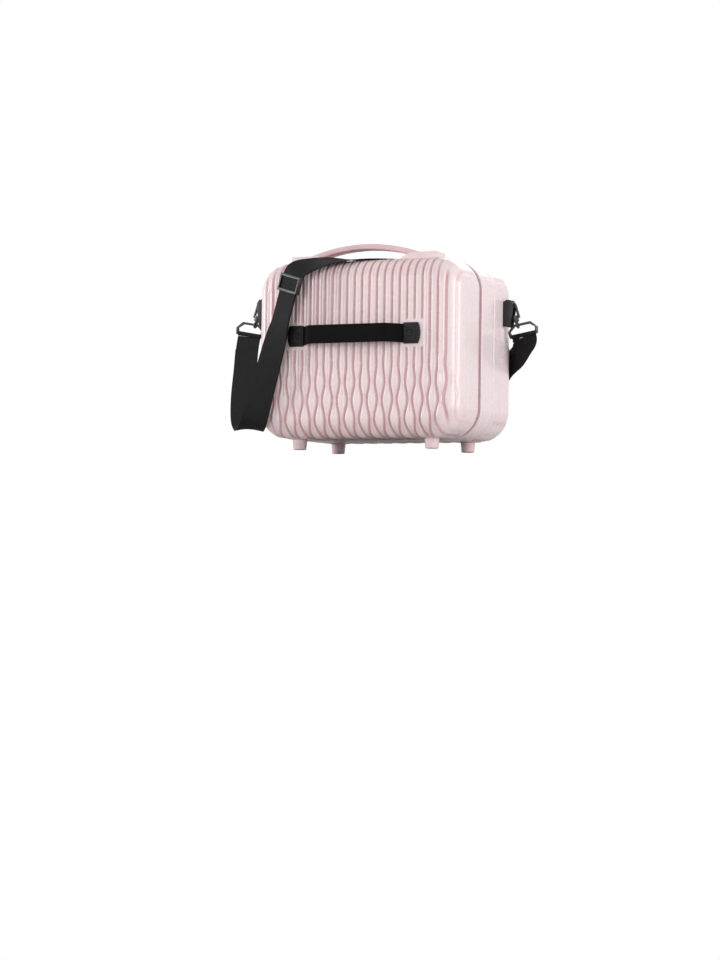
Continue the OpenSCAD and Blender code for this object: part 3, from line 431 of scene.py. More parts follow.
def fitted_shells():
    """Both shells, with smooth pads under the plates, the pods and the feet."""
    plates = [("face", (s * (RIVET_X + 3.5), BAND_Z, 18, 20)) for s in (-1, 1)]
    pods = [("top", (s * POD_X, Y_HANDLE, 34, 17.5)) for s in (-1, 1)]
    feet = [("base", (s * FOOT_X, FOOT_Y, FOOT_PAD, FOOT_PAD)) for s in (-1, 1)]
    back = shell("back_shell_ribbed", BACK_DEPTH, BACK_DEPTH - 0.5, plates + pods + feet, False)
    fit_out(back, "back", "pink_shell", "back_shell")
    feet = [("base", (s * FOOT_X, -FOOT_Y, FOOT_PAD, FOOT_PAD)) for s in (-1, 1)]
    lid = shell("lid_shell_ribbed", COLLAR_W + LID_DEPTH, LID_DEPTH, feet, True)
    fit_out(lid, "lid", "pink_shell", "lid_shell")
    return [back, lid]


# ---------------------------------------------------------------- ribbons that follow a route
def spline(stations, index, steps):
    """Points on the smooth curve through the stations: 0 its line, 1 the way it faces."""
    keys = np.array([s[index] for s in stations], float)
    last = len(keys) - 1
    out = []
    for i in range(last):
        a, b, c, d = keys[max(i - 1, 0)], keys[i], keys[i + 1], keys[min(i + 2, last)]
        for j in range(steps):
            t = j / steps
            out.append(0.5 * (2 * b + (c - a) * t + (2 * a - 5 * b + 4 * c - d) * t * t
                              + (3 * b - a - 3 * c + d) * t ** 3))
    return np.array(out + [keys[-1]])


def ribbon(name, stations, width, thick, steps=6, lift=0.0, across=8):
    """A woven strip along its stations, with a UV map in metres along the weave."""
    line, facing = spline(stations, 0, steps), spline(stations, 1, steps)
    count = len(line)
    ahead = np.array([line[min(i + 1, count - 1)] - line[max(i - 1, 0)] for i in range(count)])
    ahead /= np.linalg.norm(ahead, axis=1)[:, None]
    side = np.cross(facing, ahead)
    side /= np.linalg.norm(side, axis=1)[:, None]
    up = np.cross(ahead, side)
    run = np.concatenate([[0], np.cumsum(np.linalg.norm(np.diff(line, axis=0), axis=1))])
    obj, column, row = grid(name, across, count - 1)
    share = column / across - 0.5
    crown = lift - 0.12 * thick * (2 * share) ** 4
    set_mesh(obj, line[row] + side[row] * (share * width)[:, None] + up[row] * crown[:, None])
    write_uv(obj, share * width, run[row])
    return obj, (width, run[-1])


HOOK_LEAN, RING_TILT = math.radians(18), math.radians(10)
EYE_X = HALF_W + 12 + math.sin(HOOK_LEAN) * (22 + 1.45 + 5.8)
EYE_Z = 214.9 - math.cos(HOOK_LEAN) * (22 + 1.45 + 5.8)
BAR_X = EYE_X + 7.5 * math.cos(RING_TILT) + 16 * math.sin(RING_TILT)
BAR_Z = EYE_Z + 7.5 * math.sin(RING_TILT) - 16 * math.cos(RING_TILT)
SLEEVE_R = 1.75 + 0.25 + WEB_T
RUN_DIR, RUN_FACE = np.array((-0.268, 0, 0.9634)), (0.4, 0.917, 0)
ADJUSTER = np.array((HALF_W - 66.5, Y_BACK + 15, Z_TOP - 35))
SEAM_JOIN = np.array((HALF_W - 233.4, Y_BACK - 81.7, Z_TOP + 2))
JOIN_DIR = np.array((-0.853, -0.522, 0))


def along(distance):
    return tuple(ADJUSTER + distance * RUN_DIR)


def across_seam(distance):
    return tuple(SEAM_JOIN + distance * JOIN_DIR)


BACK_ROUTE = [
    ((BAR_X + 0.4, 62, BAR_Z - SLEEVE_R), (0, -1, 0)),
    ((BAR_X + 3, 63, BAR_Z - 22), (0, -1, 0)),
    ((BAR_X + 4, 66, BAR_Z - 55), (0, -1, 0)),
    ((BAR_X + 5, 71, BAR_Z - 94), (0, -1, 0)),
    ((BAR_X + 1, 77, FOOT_H + 35), (0, -0.9, -0.45)),
    ((HALF_W + 21, 86, FOOT_H + 19), (0, -0.5, -0.87)),
    ((HALF_W + 8, 98, FOOT_H + 15), (0, 0.2, -0.98)),
    ((HALF_W - 5, Y_BACK + 6, FOOT_H + 23), (0, 0.75, -0.66)),
    ((HALF_W - 13, Y_BACK + 12, FOOT_H + 38), (-0.1, 0.98, -0.15)),
    (along(-165), (-0.1, 0.99, 0)),
    (along(-122), (0, 1, 0)),
    (along(-84), (0.15, 0.98, 0)),
    (along(-55), RUN_FACE),
    (along(-38), RUN_FACE),
    (along(-15), RUN_FACE),
    (along(0), RUN_FACE),
    (along(13), RUN_FACE),
    ((HALF_W - 79, Y_BACK + 12, Z_TOP - 14), (0.12, 0.88, 0.42)),
    ((HALF_W - 95, Y_BACK + 4, Z_TOP - 7), (0.03, 0.68, 0.73)),
    ((HALF_W - 112, Y_BACK - 5, Z_TOP - 2), (0, 0.48, 0.88)),
    ((HALF_W - 130, Y_BACK - 15, Z_TOP + 0.4), (0, 0.3, 0.95)),
    ((HALF_W - 150, Y_BACK - 28, Z_TOP + 1.6), (0, 0.1, 0.99)),
    ((HALF_W - 175, Y_BACK - 45, Z_TOP + 2), (0, 0, 1)),
    (across_seam(-36), (0, 0, 1)),
    (across_seam(-13), (0, 0, 1))]
FRONT_ROUTE = [
    (across_seam(0), (0, 0, 1)),
    (across_seam(12), (0, 0, 1)),
    ((HALF_W - 249.5, Y_BACK - 100, Z_TOP + 2), (0, 0, 1)),
    ((HALF_W - 252.3, Y_BACK - 119, Z_TOP + 2), (0, 0, 1)),
    ((HALF_W - 253, Y_FRONT + 38, Z_TOP + 2), (0, 0, 1)),
    ((HALF_W - 253, Y_FRONT + 13, Z_TOP - 2), (0, -0.45, 0.9)),
    ((HALF_W - 253, Y_FRONT, Z_TOP - 13), (0, -0.87, 0.5)),
    ((HALF_W - 254, Y_FRONT - 4, Z_TOP - 30), (0, -1, 0)),
    ((HALF_W - 256, Y_FRONT - 5, Z_TOP - 75), (0, -1, 0)),
    ((HALF_W - 262, Y_FRONT - 5.5, Z_TOP - 145), (0, -1, 0)),
    ((HALF_W - 269, Y_FRONT - 6, Z_TOP - 200), (0, -1, 0)),
    ((HALF_W - 272, Y_FRONT - 9, FOOT_H + 35), (0, -0.8, 0.5)),
    ((HALF_W - 274, Y_FRONT - 14, FOOT_H + 26), (0, 0, 1)),
    ((HALF_W - 276, Y_FRONT - 20, FOOT_H + 33), (0, 0.8, 0.5)),
    ((HALF_W - 279, Y_FRONT - 20.5, FOOT_H + 49), (0, 1, 0)),
    ((HALF_W - 289, Y_FRONT - 15, FOOT_H + 75), (0.2, 0.97, 0)),
    ((HALF_W - 305, Y_FRONT - 3, FOOT_H + 98), (0.55, 0.83, 0)),
    ((HALF_W - 324, Y_FRONT + 8, FOOT_H + 117), (0.6, 0.8, 0)),
    ((-BAR_X + 17, Y_FRONT + 26, BAR_Z - 30), (0.4, 0.91, 0)),
    ((-BAR_X + 3, -68, BAR_Z - 15), (0.3, 0.95, 0)),
    ((-BAR_X - 1.2, -63.5, BAR_Z - 8), (0, 1, 0)),
    ((-BAR_X - 0.4, -62, BAR_Z - SLEEVE_R), (0, 1, 0))]


def bar_sleeve(name, side):
    """The webbing's turn round the bar of a ring: a rolled strip, open at its ends."""
    obj, column, row = grid(name, 8, 28)
    angle = row / 28 * 2 * math.pi * 0.97 - math.pi * 0.47
    radius = SLEEVE_R - WEB_T / 2
    lean = np.array((math.cos(RING_TILT), 0, math.sin(RING_TILT)))
    down = np.array((math.sin(RING_TILT), 0, -math.cos(RING_TILT)))
    round_bar = down[None, :] * (np.cos(angle) * radius)[:, None]
    round_bar[:, 1] += np.sin(angle) * radius
    middle = np.array((BAR_X, Y_HANDLE, BAR_Z))
    points = middle + round_bar + lean * ((column / 8 - 0.5) * WEB_W)[:, None]
    if side < 0:
        points[:, :2] *= -1
    set_mesh(obj, points)
    write_uv(obj, column / 8 * WEB_W, row / 28 * 16)
    return obj


def shoulder_strap():
    strap, cut = ribbon("shoulder_strap", BACK_ROUTE + FRONT_ROUTE, WEB_W, WEB_T, 8)
    sheet(strap, None, WEB_T, ["strap_back", "strap_front"],
          ("back", "lid", (0, 0.095, 0.2), (0, -0.1, 0.2)))
    tail, cut = ribbon("strap_doubled_part", BACK_ROUTE[1:17], WEB_W, WEB_T, 8, -WEB_T - 0.3)
    sheet(tail, "back", WEB_T, ["strap_return"])
    turns = []
    for name, side, body in (("strap_turn_left", 1, "back"), ("strap_turn_right", -1, "lid")):
        turn = bar_sleeve(name, side)
        turns.append(sheet(turn, body, WEB_T, ()))
    return [strap, tail] + turns


# ---------------------------------------------------------------- zip, hinge and trolley band
ZIP_END_X, TAPE_IN, TEETH_IN, TAPE_W, COIL_PITCH = 111, 3.7, 2.9, 12, 1.45
HINGE_L, HINGE_W = 218, 34


def zip_line():
    """Corner points of the zip's line and the way out of the case at each, from its end under
    the left side over the top to its other end, with the run up to each."""
    a, b = HALF_W - CORNER_R, SHELL_H / 2 - CORNER_R
    turn = np.radians(np.arange(-90, 271, 3))
    quarter = np.clip(((np.degrees(turn) + 90) // 90).astype(int), 0, 3)
    turn = np.concatenate([turn, np.radians((0, 90, 180))])
    quarter = np.concatenate([quarter, (0, 1, 2)])
    order = np.lexsort((quarter, np.round(turn, 6)))
    turn, quarter = turn[order], quarter[order]
    radius = CORNER_R - TAPE_IN
    x = np.array((a, a, -a, -a))[quarter] + radius * np.cos(turn)
    z = np.array((-b, b, b, -b))[quarter] + radius * np.sin(turn)
    x = np.concatenate([[ZIP_END_X], x, [-ZIP_END_X]])
    z = np.concatenate([[-b - radius], z, [-b - radius]])
    nx = np.concatenate([[0], np.cos(turn), [0]])
    nz = np.concatenate([[-1], np.sin(turn), [-1]])
    length = np.concatenate([[0], np.cumsum(np.hypot(np.diff(x), np.diff(z)))])
    return length, (x, z, nx, nz)


ZIP_RUN, ZIP_POINTS = zip_line()


def round_the_case(run, y, inward):
    """Points at a distance along the zip, at a depth below the crests of the shells."""
    x, z, nx, nz = [np.interp(run, ZIP_RUN, values) for values in ZIP_POINTS]
    away = TAPE_IN - inward
    return np.stack([x + nx * away, y, z + nz * away + Z_MID], axis=1)


def zip_and_hinge():
    made = {"tape": [], "coil": []}
    total = ZIP_RUN[-1]
    for name, side, body, outer in (("zip_tape_back", 1, "back", Y_RIM + TAPE_W),
                                    ("zip_tape_lid", -1, "lid", Y_LID_RIM - TAPE_W)):
        half = "back" if side > 0 else "lid"
        tape, column, row = grid(name, 8, 260)
        near = Y_SEAM + side * 2.9
        y = near + (outer - near) * column / 8
        set_mesh(tape, round_the_case(row / 260 * total, y, TAPE_IN + 0.5))
        write_uv(tape, y, row / 260 * total)
        sheet(tape, body, 1.0,
              [half + "_zip_tape"])
        coil, which, local = repeated("zip_coil_" + half, int(total / COIL_PITCH),
                                      (0.95, 2.2, 2.6), 0.35)
        lean = side * 0.16 * local[:, 1]
        set_mesh(coil, round_the_case((which + 0.5) * COIL_PITCH + local[:, 0] + lean,
                                      Y_SEAM + side * 1.8 + local[:, 1],
                                      TEETH_IN + 1.3 - local[:, 2]))
        face_outwards(coil)
        shade(coil, 30)
        made["coil"].append(fit_out(coil, body, "pink_teeth", half + "_zip_teeth"))
        made["tape"].append(tape)
    hinge, column, row = grid("hinge_tape", 40, 24)
    x, y = (column / 40 - 0.5) * HINGE_L, Y_SEAM + (row / 24 - 0.5) * HINGE_W
    set_mesh(hinge, np.stack([x, y, np.full(len(x), FOOT_H + TAPE_IN + 0.5)], axis=1))
    write_uv(hinge, x, y)
    made["tape"].append(sheet(hinge, None, 1.0,
                              ["back_hinge_tape", "lid_hinge_tape"],
                              ("back", "lid", (0, 0.028, 0.019), (0, 0.018, 0.019))))
    for name, side in (("zip_tab_left", 1), ("zip_tab_right", -1)):
        tab, column, row = grid(name, 10, 6)
        x = side * (ZIP_END_X + 0.2 + 8.6 * column / 10)
        y = Y_SEAM + 0.4 + 4.2 * row / 6
        z = FOOT_H + TEETH_IN - 0.9 + 0.35 * ((column / 5 - 1) ** 4 + (row / 3 - 1) ** 4) / 2
        set_mesh(tab, np.stack([x, y, z], axis=1))
        write_uv(tab, x, y)
        apply_modifier(tab, "SOLIDIFY", thickness=0.9 * MM, offset=0)
        face_outwards(tab)
        shade(tab, 50)
        fit_out(tab, "back", "pink_tape", "zip_end_tabs")
        made["tape"].append(tab)
    return made


def trolley_band():
    """Elastic that lies flat below its end plates and stands off the face between them."""
    flat = Y_BACK + 0.05 + 0.75
    middle = Y_BACK + 0.05 + BAND_OUT + 0.7
    half = [((97, flat, BAND_Z), (0, 1, 0)), ((88, flat, BAND_Z), (0, 1, 0)),
            ((82, flat + 0.15, BAND_Z), (0.12, 0.99, 0)),
            ((78.6, flat + 2.6, BAND_Z), (0.7, 0.71, 0)),
            ((71, flat + 12, BAND_Z), (0.78, 0.63, 0)),
            ((64, middle - 2.2, BAND_Z), (0.72, 0.69, 0)),
            ((58.6, middle - 0.1, BAND_Z), (0.2, 0.98, 0)), ((50, middle, BAND_Z), (0, 1, 0)),
            ((25, middle, BAND_Z), (0, 1, 0))]
    other = [((-x, y, z), (-nx, ny, 0)) for (x, y, z), (nx, ny, _) in reversed(half)]
    band, cut = ribbon("elastic_band", half + [((0, middle, BAND_Z), (0, 1, 0))] + other,
                       BAND_W, BAND_T, 6, 0, 12)
    return sheet(band, "back", BAND_T, ["trolley_band"])


# ---------------------------------------------------------------- inside
INNER_BACK, INNER_FRONT, PACKING_Z = 99.1, -99.1, 100
LOOP_Z, LOOP_PITCH, LOOP_COUNT = 190, 30, 7
NET_W, NET_H, NET_Z, EDGE_X = 239, 119, 60.5, 120


def inside():
    made = {"elastic": [], "net": []}
    for name, side in (("packing_elastic_left", 1), ("packing_elastic_right", -1)):
        stops = (14, 24, 40, 60, 80, 100, 122.5)
        route = [((side * x, INNER_BACK - 0.75 - (2.2 if x < 20 else 0), PACKING_Z), (0, -1, 0))
                 for x in stops]
        strap, cut = ribbon(name, route, 24.6, 1.1, 4)
        nodes = ["packing_strap"] if side > 0 else []
        made["elastic"].append(sheet(strap, "back", 1.1,
                                     nodes))
    tape, cut = ribbon("loop_tape", [((x, INNER_BACK - 0.5, LOOP_Z), (0, -1, 0))
                                     for x in (-109, -50, 0, 50, 109)], 30, 0.8, 4)
    made["elastic"].append(sheet(tape, "back", 0.8,
                                 ["brush_loops"]))
    route = []
    for loop in range(LOOP_COUNT):
        middle = (loop - LOOP_COUNT // 2) * LOOP_PITCH
        for degrees in (180, 165, 135, 105, 75, 45, 15, 0):
            t = math.radians(degrees)
            route.append(((middle + 13.4 * math.cos(t), INNER_BACK - 1.5 - 13.2 * math.sin(t),
                           LOOP_Z), (math.cos(t), -math.sin(t) - 1e-3, 0)))
    loops, cut = ribbon("loop_elastic", route, 29, 0.9, 3)
    made["elastic"].append(sheet(loops, "back", 0.9, ()))
    net, column, row = grid("pocket_net", 60, 30)
    x, z = (column / 60 - 0.5) * NET_W, NET_Z + row / 30 * NET_H
    sag = 0.35 * np.sin(column / 60 * math.pi) * np.sin(row / 30 * math.pi)
    set_mesh(net, np.stack([x, INNER_FRONT + 3.5 + sag, z], axis=1))
    bpy.context.view_layer.objects.active = net
    bpy.ops.object.mode_set(mode="EDIT")
    bpy.ops.mesh.select_all(action="SELECT")
    bpy.ops.mesh.poke()
    bpy.ops.mesh.tris_convert_to_quads(face_threshold=3.14, shape_threshold=3.14)
    bpy.ops.object.mode_set(mode="OBJECT")
    apply_modifier(net, "WIREFRAME", thickness=0.55 * MM, use_even_offset=False)
    face_outwards(net)
    fit_out(net, "lid", "mesh", "mesh_pocket")
    made["net"].append(net)
    corner = [(-EDGE_X, 182.5), (-EDGE_X, 150), (-EDGE_X, 110), (-EDGE_X, 74),
              (-118.5, 66), (-114, 61.5), (-106, 60), (-60, 60)]
    u_line = corner + [(0, 60)] + [(-x, z) for x, z in reversed(corner)]
    edge, cut = ribbon("pocket_edge", [((x, INNER_FRONT + 2.55, z), (0, 1, 0))
                                       for x, z in u_line], 9.8, 4.6, 6)
    made["elastic"].append(sheet(edge, "lid", 4.4,
                                 ["pocket_binding"]))
    return made


# ---------------------------------------------------------------- hard pieces with eased edges
SHARP = 32    # degrees between two faces from which their edge counts as sharp


def eased(name, node, width, body, slot):
    """A fitting with its edges rounded by a small radius."""
    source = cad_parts[node]
    clear_selection()
    obj = source.copy()
    obj.data = source.data.copy()
    obj.name = obj.data.name = name
    obj.parent = None
    bpy.context.collection.objects.link(obj)
    obj.select_set(True)
    bpy.context.view_layer.objects.active = obj
    bpy.ops.object.mode_set(mode="EDIT")
    bpy.ops.mesh.select_all(action="SELECT")
    bpy.ops.mesh.remove_doubles(threshold=1e-6)
    bpy.ops.mesh.dissolve_limited(angle_limit=math.radians(0.6))
    bpy.ops.object.mode_set(mode="OBJECT")
    apply_modifier(obj, "BEVEL", width=width * MM, segments=2, limit_method="ANGLE",
                   angle_limit=math.radians(SHARP), use_clamp_overlap=True)
    shade(obj, 40)
    return fit_out(obj, body, slot, node)


def hard_pieces():
    made = {}
    rows = [
        ("grip_arch", "handle_grip", 2.2, "back", "pink_grip"),
        ("grip_pod_left", "handle_pod_left", 1.2, "back", "pink_plastic"),
        ("grip_pod_right", "handle_pod_right", 1.2, "back", "pink_plastic"),
        ("feet_back", "back_feet", 0.8, "back", "pink_plastic"),
        ("feet_front", "lid_feet", 0.8, "lid", "pink_plastic"),
        ("end_plate_left", "band_plate_left", 0.5, "back", "black_plastic"),
        ("end_plate_right", "band_plate_right", 0.5, "back", "black_plastic"),
        ("strap_lug_left", "lug_left", 0.6, "back", "black_plastic"),
        ("strap_lug_right", "lug_right", 0.6, "lid", "black_plastic"),
        ("strap_ring_left", "ring_left", 0.5, "back", "black_metal"),
        ("strap_ring_right", "ring_right", 0.5, "lid", "black_metal"),
        ("strap_slide", "strap_adjuster", 0.6, "adjuster", "black_plastic"),
        ("pack_buckle", "buckle", 0.8, "back", "black_plastic"),
        ("band_rivet_pair", "band_rivets", 0.35, "back", "dark_rivet"),
        ("slider_a_body", "zip_slider_a", 0.25, "slider_a", "zip_metal"),
        ("slider_b_body", "zip_slider_b", 0.25, "slider_b", "zip_metal"),
        ("slider_a_tab", "zip_pull_a", 0.25, "pull_a", "zip_metal"),
        ("slider_b_tab", "zip_pull_b", 0.25, "pull_b", "zip_metal")]
    for name, node, width, body, slot in rows:
        made.setdefault(slot, []).append(eased(name, node, width, body, slot))
    return made


# ---------------------------------------------------------------- finishes
def surface(tree, colour, rough, height, depth, numbers, before=None):
    """The finish's shader over a relief whose depth is in millimetres."""
    relief = {"Height": height, "Distance": depth * MM}
    if before is not None:
        relief["Normal"] = before.outputs[0]
    bump = add(tree, "Bump", relief)
    shader = add(tree, "BsdfPrincipled", {"Base Color": colour, "Roughness": rough,
                                          "Normal": bump.outputs[0], **numbers})
    add(tree, "OutputMaterial", {"Surface": shader.outputs[0]})


def bands(period):
    """The Wave node's scale for a period in millimetres."""
    return 2 * math.pi / 20 / (period * MM)


def speckle(period):
    """The Noise node's scale for grains of about this size in millimetres."""
    return 1 / (period * MM)


def polycarbonate(objects):
    """Polycarbonate sheet, coloured through and vacuum formed over a ribbed mould: a soft
    gloss that gathers light along every crest, a painted shade that deepens the pink the
    deeper a point lies in a groove, and a very slight unevenness left by the forming."""
    tree = new_material("polycarbonate_vacuum_formed", *objects)
    place = add(tree, "TexCoord").outputs["Object"]
    painted_shade_depth = add(tree, "Attribute", attribute_name="hollow").outputs["Fac"]
    # painted shade: the pink goes from the crest colour to a darker groove colour with the
    # stored depth below the crests
    pink = add(tree, "ValToRGB", {"Fac": painted_shade_depth}, [(0.0, "ecdadb"), (1.0, "cfa2a6")])
    cloud = add(tree, "TexNoise", {"Vector": place, "Scale": speckle(70), "Detail": 3})
    tone = add(tree, "MapRange", {"Value": cloud.outputs[0], 3: 0.97, 4: 1.02})
    colour = add(tree, "Mix", {0: 1.0, 6: pink.outputs[0], 7: tone.outputs[0]},
                 data_type="RGBA", blend_type="MULTIPLY")
    formed = add(tree, "TexNoise", {"Vector": place, "Scale": speckle(9), "Detail": 1})
    broad = add(tree, "Bump", {"Height": formed.outputs[0], "Distance": 0.12 * MM,
                               "Strength": 0.5})
    peel = add(tree, "TexNoise", {"Vector": place, "Scale": speckle(2.2), "Detail": 2})
    rubbed = add(tree, "TexNoise", {"Vector": place, "Scale": speckle(16), "Detail": 5})
    rough = add(tree, "MapRange", {"Value": rubbed.outputs[0], 3: 0.22, 4: 0.32})
    surface(tree, colour.outputs[2], rough.outputs[0], peel.outputs[0], 0.012,
            {"IOR": 1.58}, broad)


def moulded(name, dark, light, rough, grain, depth, objects, numbers):
    """Injection-moulded plastic: a fine spark-eroded grain from the mould, which breaks the
    gloss into a soft satin, and slow drifts of tone from the flow of the melt."""
    tree = new_material(name, *objects)
    place = add(tree, "TexCoord").outputs["Object"]
    spots = add(tree, "TexVoronoi", {"Vector": place, "Scale": speckle(grain)},
                feature="SMOOTH_F1")
    flow = add(tree, "TexNoise", {"Vector": place, "Scale": speckle(24), "Detail": 3})
    tint = add(tree, "ValToRGB", {"Fac": flow.outputs[0]}, [(0.3, dark), (0.7, light)])
    gloss = add(tree, "MapRange", {"Value": spots.outputs["Distance"],
                                   3: rough - 0.05, 4: rough + 0.08})
    surface(tree, tint.outputs[0], gloss.outputs[0], spots.outputs["Distance"], depth, numbers)


def chequered(objects):
    """Glass-filled nylon, moulded with a fine chequer on its face: squares 1.6 mm apart that
    catch the light one by one, and a satin black between them."""
    tree = new_material("nylon_chequered", *objects)
    place = add(tree, "TexCoord").outputs["Object"]
    x = add(tree, "TexWave", {"Vector": place, "Scale": bands(1.6)}, bands_direction="X")
    z = add(tree, "TexWave", {"Vector": place, "Scale": bands(1.6)}, bands_direction="Z")
    lines = add(tree, "Math", {0: x.outputs["Fac"], 1: z.outputs["Fac"]},
                operation="MINIMUM")
    drift = add(tree, "TexNoise", {"Vector": place, "Scale": speckle(6), "Detail": 3})
    tint = add(tree, "ValToRGB", {"Fac": drift.outputs[0]}, [(0.3, "0f0f10"), (0.7, "1b1b1c")])
    gloss = add(tree, "MapRange", {"Value": lines.outputs[0], 3: 0.52, 4: 0.36})
    surface(tree, tint.outputs[0], gloss.outputs[0], lines.outputs[0], 0.14,
            {"Specular IOR Level": 0.25})


def woven(name, dark, light, thread, depth, rough, objects, numbers, ribs=1.0):
    """Woven yarn: each thread goes over one and under the next, so that the surface is a
    chequer of small rounded knuckles, their crowns lighter by a painted highlight, with a
    soft edge of fibres against the light. ribs stretches the knuckles along the weave."""
    tree = new_material(name, *objects)
    laid = add(tree, "TexCoord").outputs["UV"]
    u = add(tree, "TexWave", {"Vector": laid, "Scale": bands(2 * thread)}, bands_direction="X")
    v = add(tree, "TexWave", {"Vector": laid, "Scale": bands(2 * thread * ribs)},
            bands_direction="Y")
    both = add(tree, "Math", {0: u.outputs["Fac"], 1: v.outputs["Fac"]}, operation="SUBTRACT")
    knuckle = add(tree, "Math", {0: both.outputs[0]}, operation="ABSOLUTE")
    fibre = add(tree, "TexNoise", {"Vector": laid, "Scale": speckle(0.5), "Detail": 3})
    height = add(tree, "Math", {0: fibre.outputs[0], 1: 0.3, 2: knuckle.outputs[0]},
                 operation="MULTIPLY_ADD")
    worn = add(tree, "TexNoise", {"Vector": laid, "Scale": speckle(14), "Detail": 3})
    # the knuckle height lightens the tint as a painted highlight on the crowns; the worn noise
    # adds a random tone of wear
    tone = add(tree, "Math", {0: worn.outputs[0], 1: 0.5, 2: height.outputs[0]},
               operation="MULTIPLY_ADD")
    share = add(tree, "MapRange", {"Value": tone.outputs[0], 1: 0.25, 2: 1.35})
    tint = add(tree, "ValToRGB", {"Fac": share.outputs[0]}, [(0.0, dark), (1.0, light)])
    surface(tree, tint.outputs[0], rough, height.outputs[0], depth, numbers)


def ribbed_knit(name, dark, light, level, objects):
    """Covered rubber knitted into a band: fine ribs 1.3 mm apart run along it, crossed by
    short stitches, so that it looks matt and slightly furrowed, with painted shade in the
    furrows."""
    tree = new_material(name, *objects)
    laid = add(tree, "TexCoord").outputs["UV"]
    ribs_along = add(tree, "TexWave", {"Vector": laid, "Scale": bands(1.3)},
                     bands_direction="X")
    stitches = add(tree, "TexWave", {"Vector": laid, "Scale": bands(0.9), "Distortion": 1.5,
                                     "Detail": 1}, bands_direction="Y")
    height = add(tree, "Math", {0: stitches.outputs["Fac"], 1: 0.35,
                                2: ribs_along.outputs["Fac"]}, operation="MULTIPLY_ADD")
    # painted shade: the relief's height darkens the furrows and lightens the ribs
    share = add(tree, "MapRange", {"Value": height.outputs[0], 1: 0.1, 2: 1.3})
    tint = add(tree, "ValToRGB", {"Fac": share.outputs[0]}, [(0.0, dark), (1.0, light)])
    surface(tree, tint.outputs[0], 0.85, height.outputs[0], 0.3,
            {"Specular IOR Level": level})


def twill(objects):
    """Polyester twill, dyed and pressed: fine diagonal lines 1.1 mm apart, drawn a little
    coarser than the real 0.5 mm so that they show, in relief and in painted shade, with the
    dull sheen of lining cloth."""
    tree = new_material("polyester_twill", *objects)
    laid = add(tree, "TexCoord").outputs["UV"]
    turned = add(tree, "Mapping", {"Vector": laid, "Rotation": (0, 0, math.radians(40))})
    lines = add(tree, "TexWave", {"Vector": turned.outputs[0], "Scale": bands(1.1),
                                  "Distortion": 0.6}, bands_direction="X")
    slub = add(tree, "TexNoise", {"Vector": laid, "Scale": speckle(3), "Detail": 4})
    mixed = add(tree, "Math", {0: slub.outputs[0], 1: 0.6, 2: lines.outputs["Fac"]},
                operation="MULTIPLY_ADD")
    # painted shade along the twill lines, mixed with a random slub tone of the yarn
    share = add(tree, "MapRange", {"Value": mixed.outputs[0], 1: 0.2, 2: 1.4})
    tint = add(tree, "ValToRGB", {"Fac": share.outputs[0]}, [(0.0, "b48b92"), (1.0, "d2afb4")])
    surface(tree, tint.outputs[0], 0.6, mixed.outputs[0], 0.1, {"Sheen Weight": 0.15})


def plated(name, dark, light, rough, objects, numbers):
    """Cast or stamped metal with a plated or lacquered skin: it mirrors the room in broad,
    slightly clouded patches, with faint rub marks where hands and cloth pass."""
    tree = new_material(name, *objects)
    place = add(tree, "TexCoord").outputs["Object"]
    marks = add(tree, "TexNoise", {"Vector": place, "Scale": speckle(1.4), "Detail": 5})
    rubbed = add(tree, "TexNoise", {"Vector": place, "Scale": speckle(7), "Detail": 2})
    gloss = add(tree, "MapRange", {"Value": rubbed.outputs[0], 1: 0.3, 2: 0.7,
                                   3: rough - 0.07, 4: rough + 0.1})
    tint = add(tree, "ValToRGB", {"Fac": marks.outputs[0]}, [(0.3, dark), (0.7, light)])
    surface(tree, tint.outputs[0], gloss.outputs[0], marks.outputs[0], 0.02, numbers)


def cad(*names):
    return [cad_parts[n] for n in names]


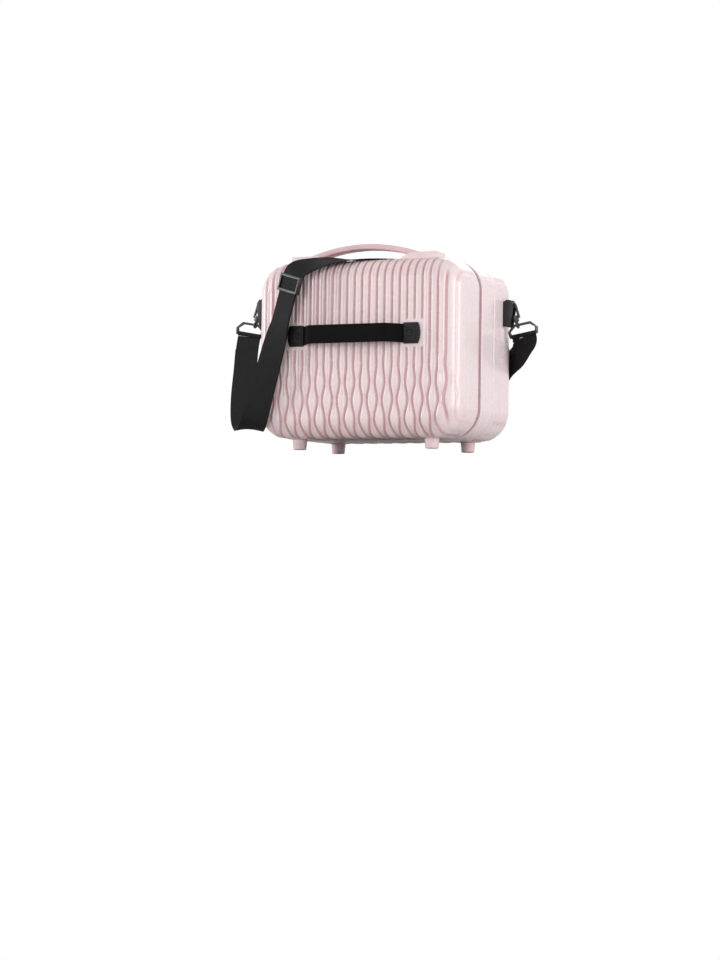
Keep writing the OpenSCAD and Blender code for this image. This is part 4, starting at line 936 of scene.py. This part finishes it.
# ---------------------------------------------------------------- the whole case
place_camera()
light_the_studio()
lay_the_floor()
shells = fitted_shells()
linings = [lining("lining_back", BACK_DEPTH, "back", "back_lining", False),
           lining("lining_lid", COLLAR_W + LID_DEPTH, "lid", "lid_lining", True)]
strap = shoulder_strap()
seam = zip_and_hinge()
band = trolley_band()
fittings = inside()
hard = hard_pieces()
plates = [piece for piece in hard["black_plastic"] if "end_plate" in piece.name]
plain_black = [piece for piece in hard["black_plastic"] if piece not in plates]

polycarbonate(shells)
twill(linings)
woven("polypropylene_webbing", "050505", "202020", 1.3, 0.28, 0.7, strap,
      {"Specular IOR Level": 0.16}, 1.6)
woven("polyester_zip_tape", "c39aa0", "e0bfc3", 0.9, 0.12, 0.8, seam["tape"],
      {"Sheen Weight": 0.1})
moulded("nylon_coil", "c59ba1", "dab4b9", 0.4, 0.5, 0.02, seam["coil"], {})
ribbed_knit("elastic_knit_black", "030303", "161616", 0.1, [band])
ribbed_knit("elastic_knit_brown", "2c2527", "54484b", 0.3, fittings["elastic"])
woven("polyester_net", "4a4044", "6f6267", 0.5, 0.05, 0.8, fittings["net"],
      {"Sheen Weight": 0.1})
moulded("abs_satin_pink", "e6cecf", "eedadb", 0.32, 0.8, 0.03, hard["pink_plastic"], {})
moulded("elastomer_soft_pink", "dab5b7", "e2c1c3", 0.4, 0.5, 0.03, hard["pink_grip"], {})
moulded("acetal_black", "171718", "242425", 0.4, 0.7, 0.03, plain_black,
        {"Specular IOR Level": 0.4})
chequered(plates)
plated("steel_black_oxide", "1c1c1c", "2e2e2e", 0.4, hard["dark_rivet"], {"Metallic": 0.9})
plated("zinc_black_lacquer", "121312", "232523", 0.34, hard["black_metal"] + cad(
    "hook_left", "hook_right", "gate_left", "gate_right", "swivel_left", "swivel_right"),
    {"Coat Weight": 0.3, "Coat Roughness": 0.2})
plated("zinc_nickel_plate", "b8b3b1", "d8d3d0", 0.24, hard["zip_metal"], {"Metallic": 1})
plated("steel_zinc_plate", "a3a3a5", "bfbfc1", 0.34, cad(
    "lug_rivets_left", "lug_rivets_right", "back_foot_screws", "lid_foot_screws",
    "handle_screws", "handle_backing_plates", "band_washers"), {"Metallic": 1})
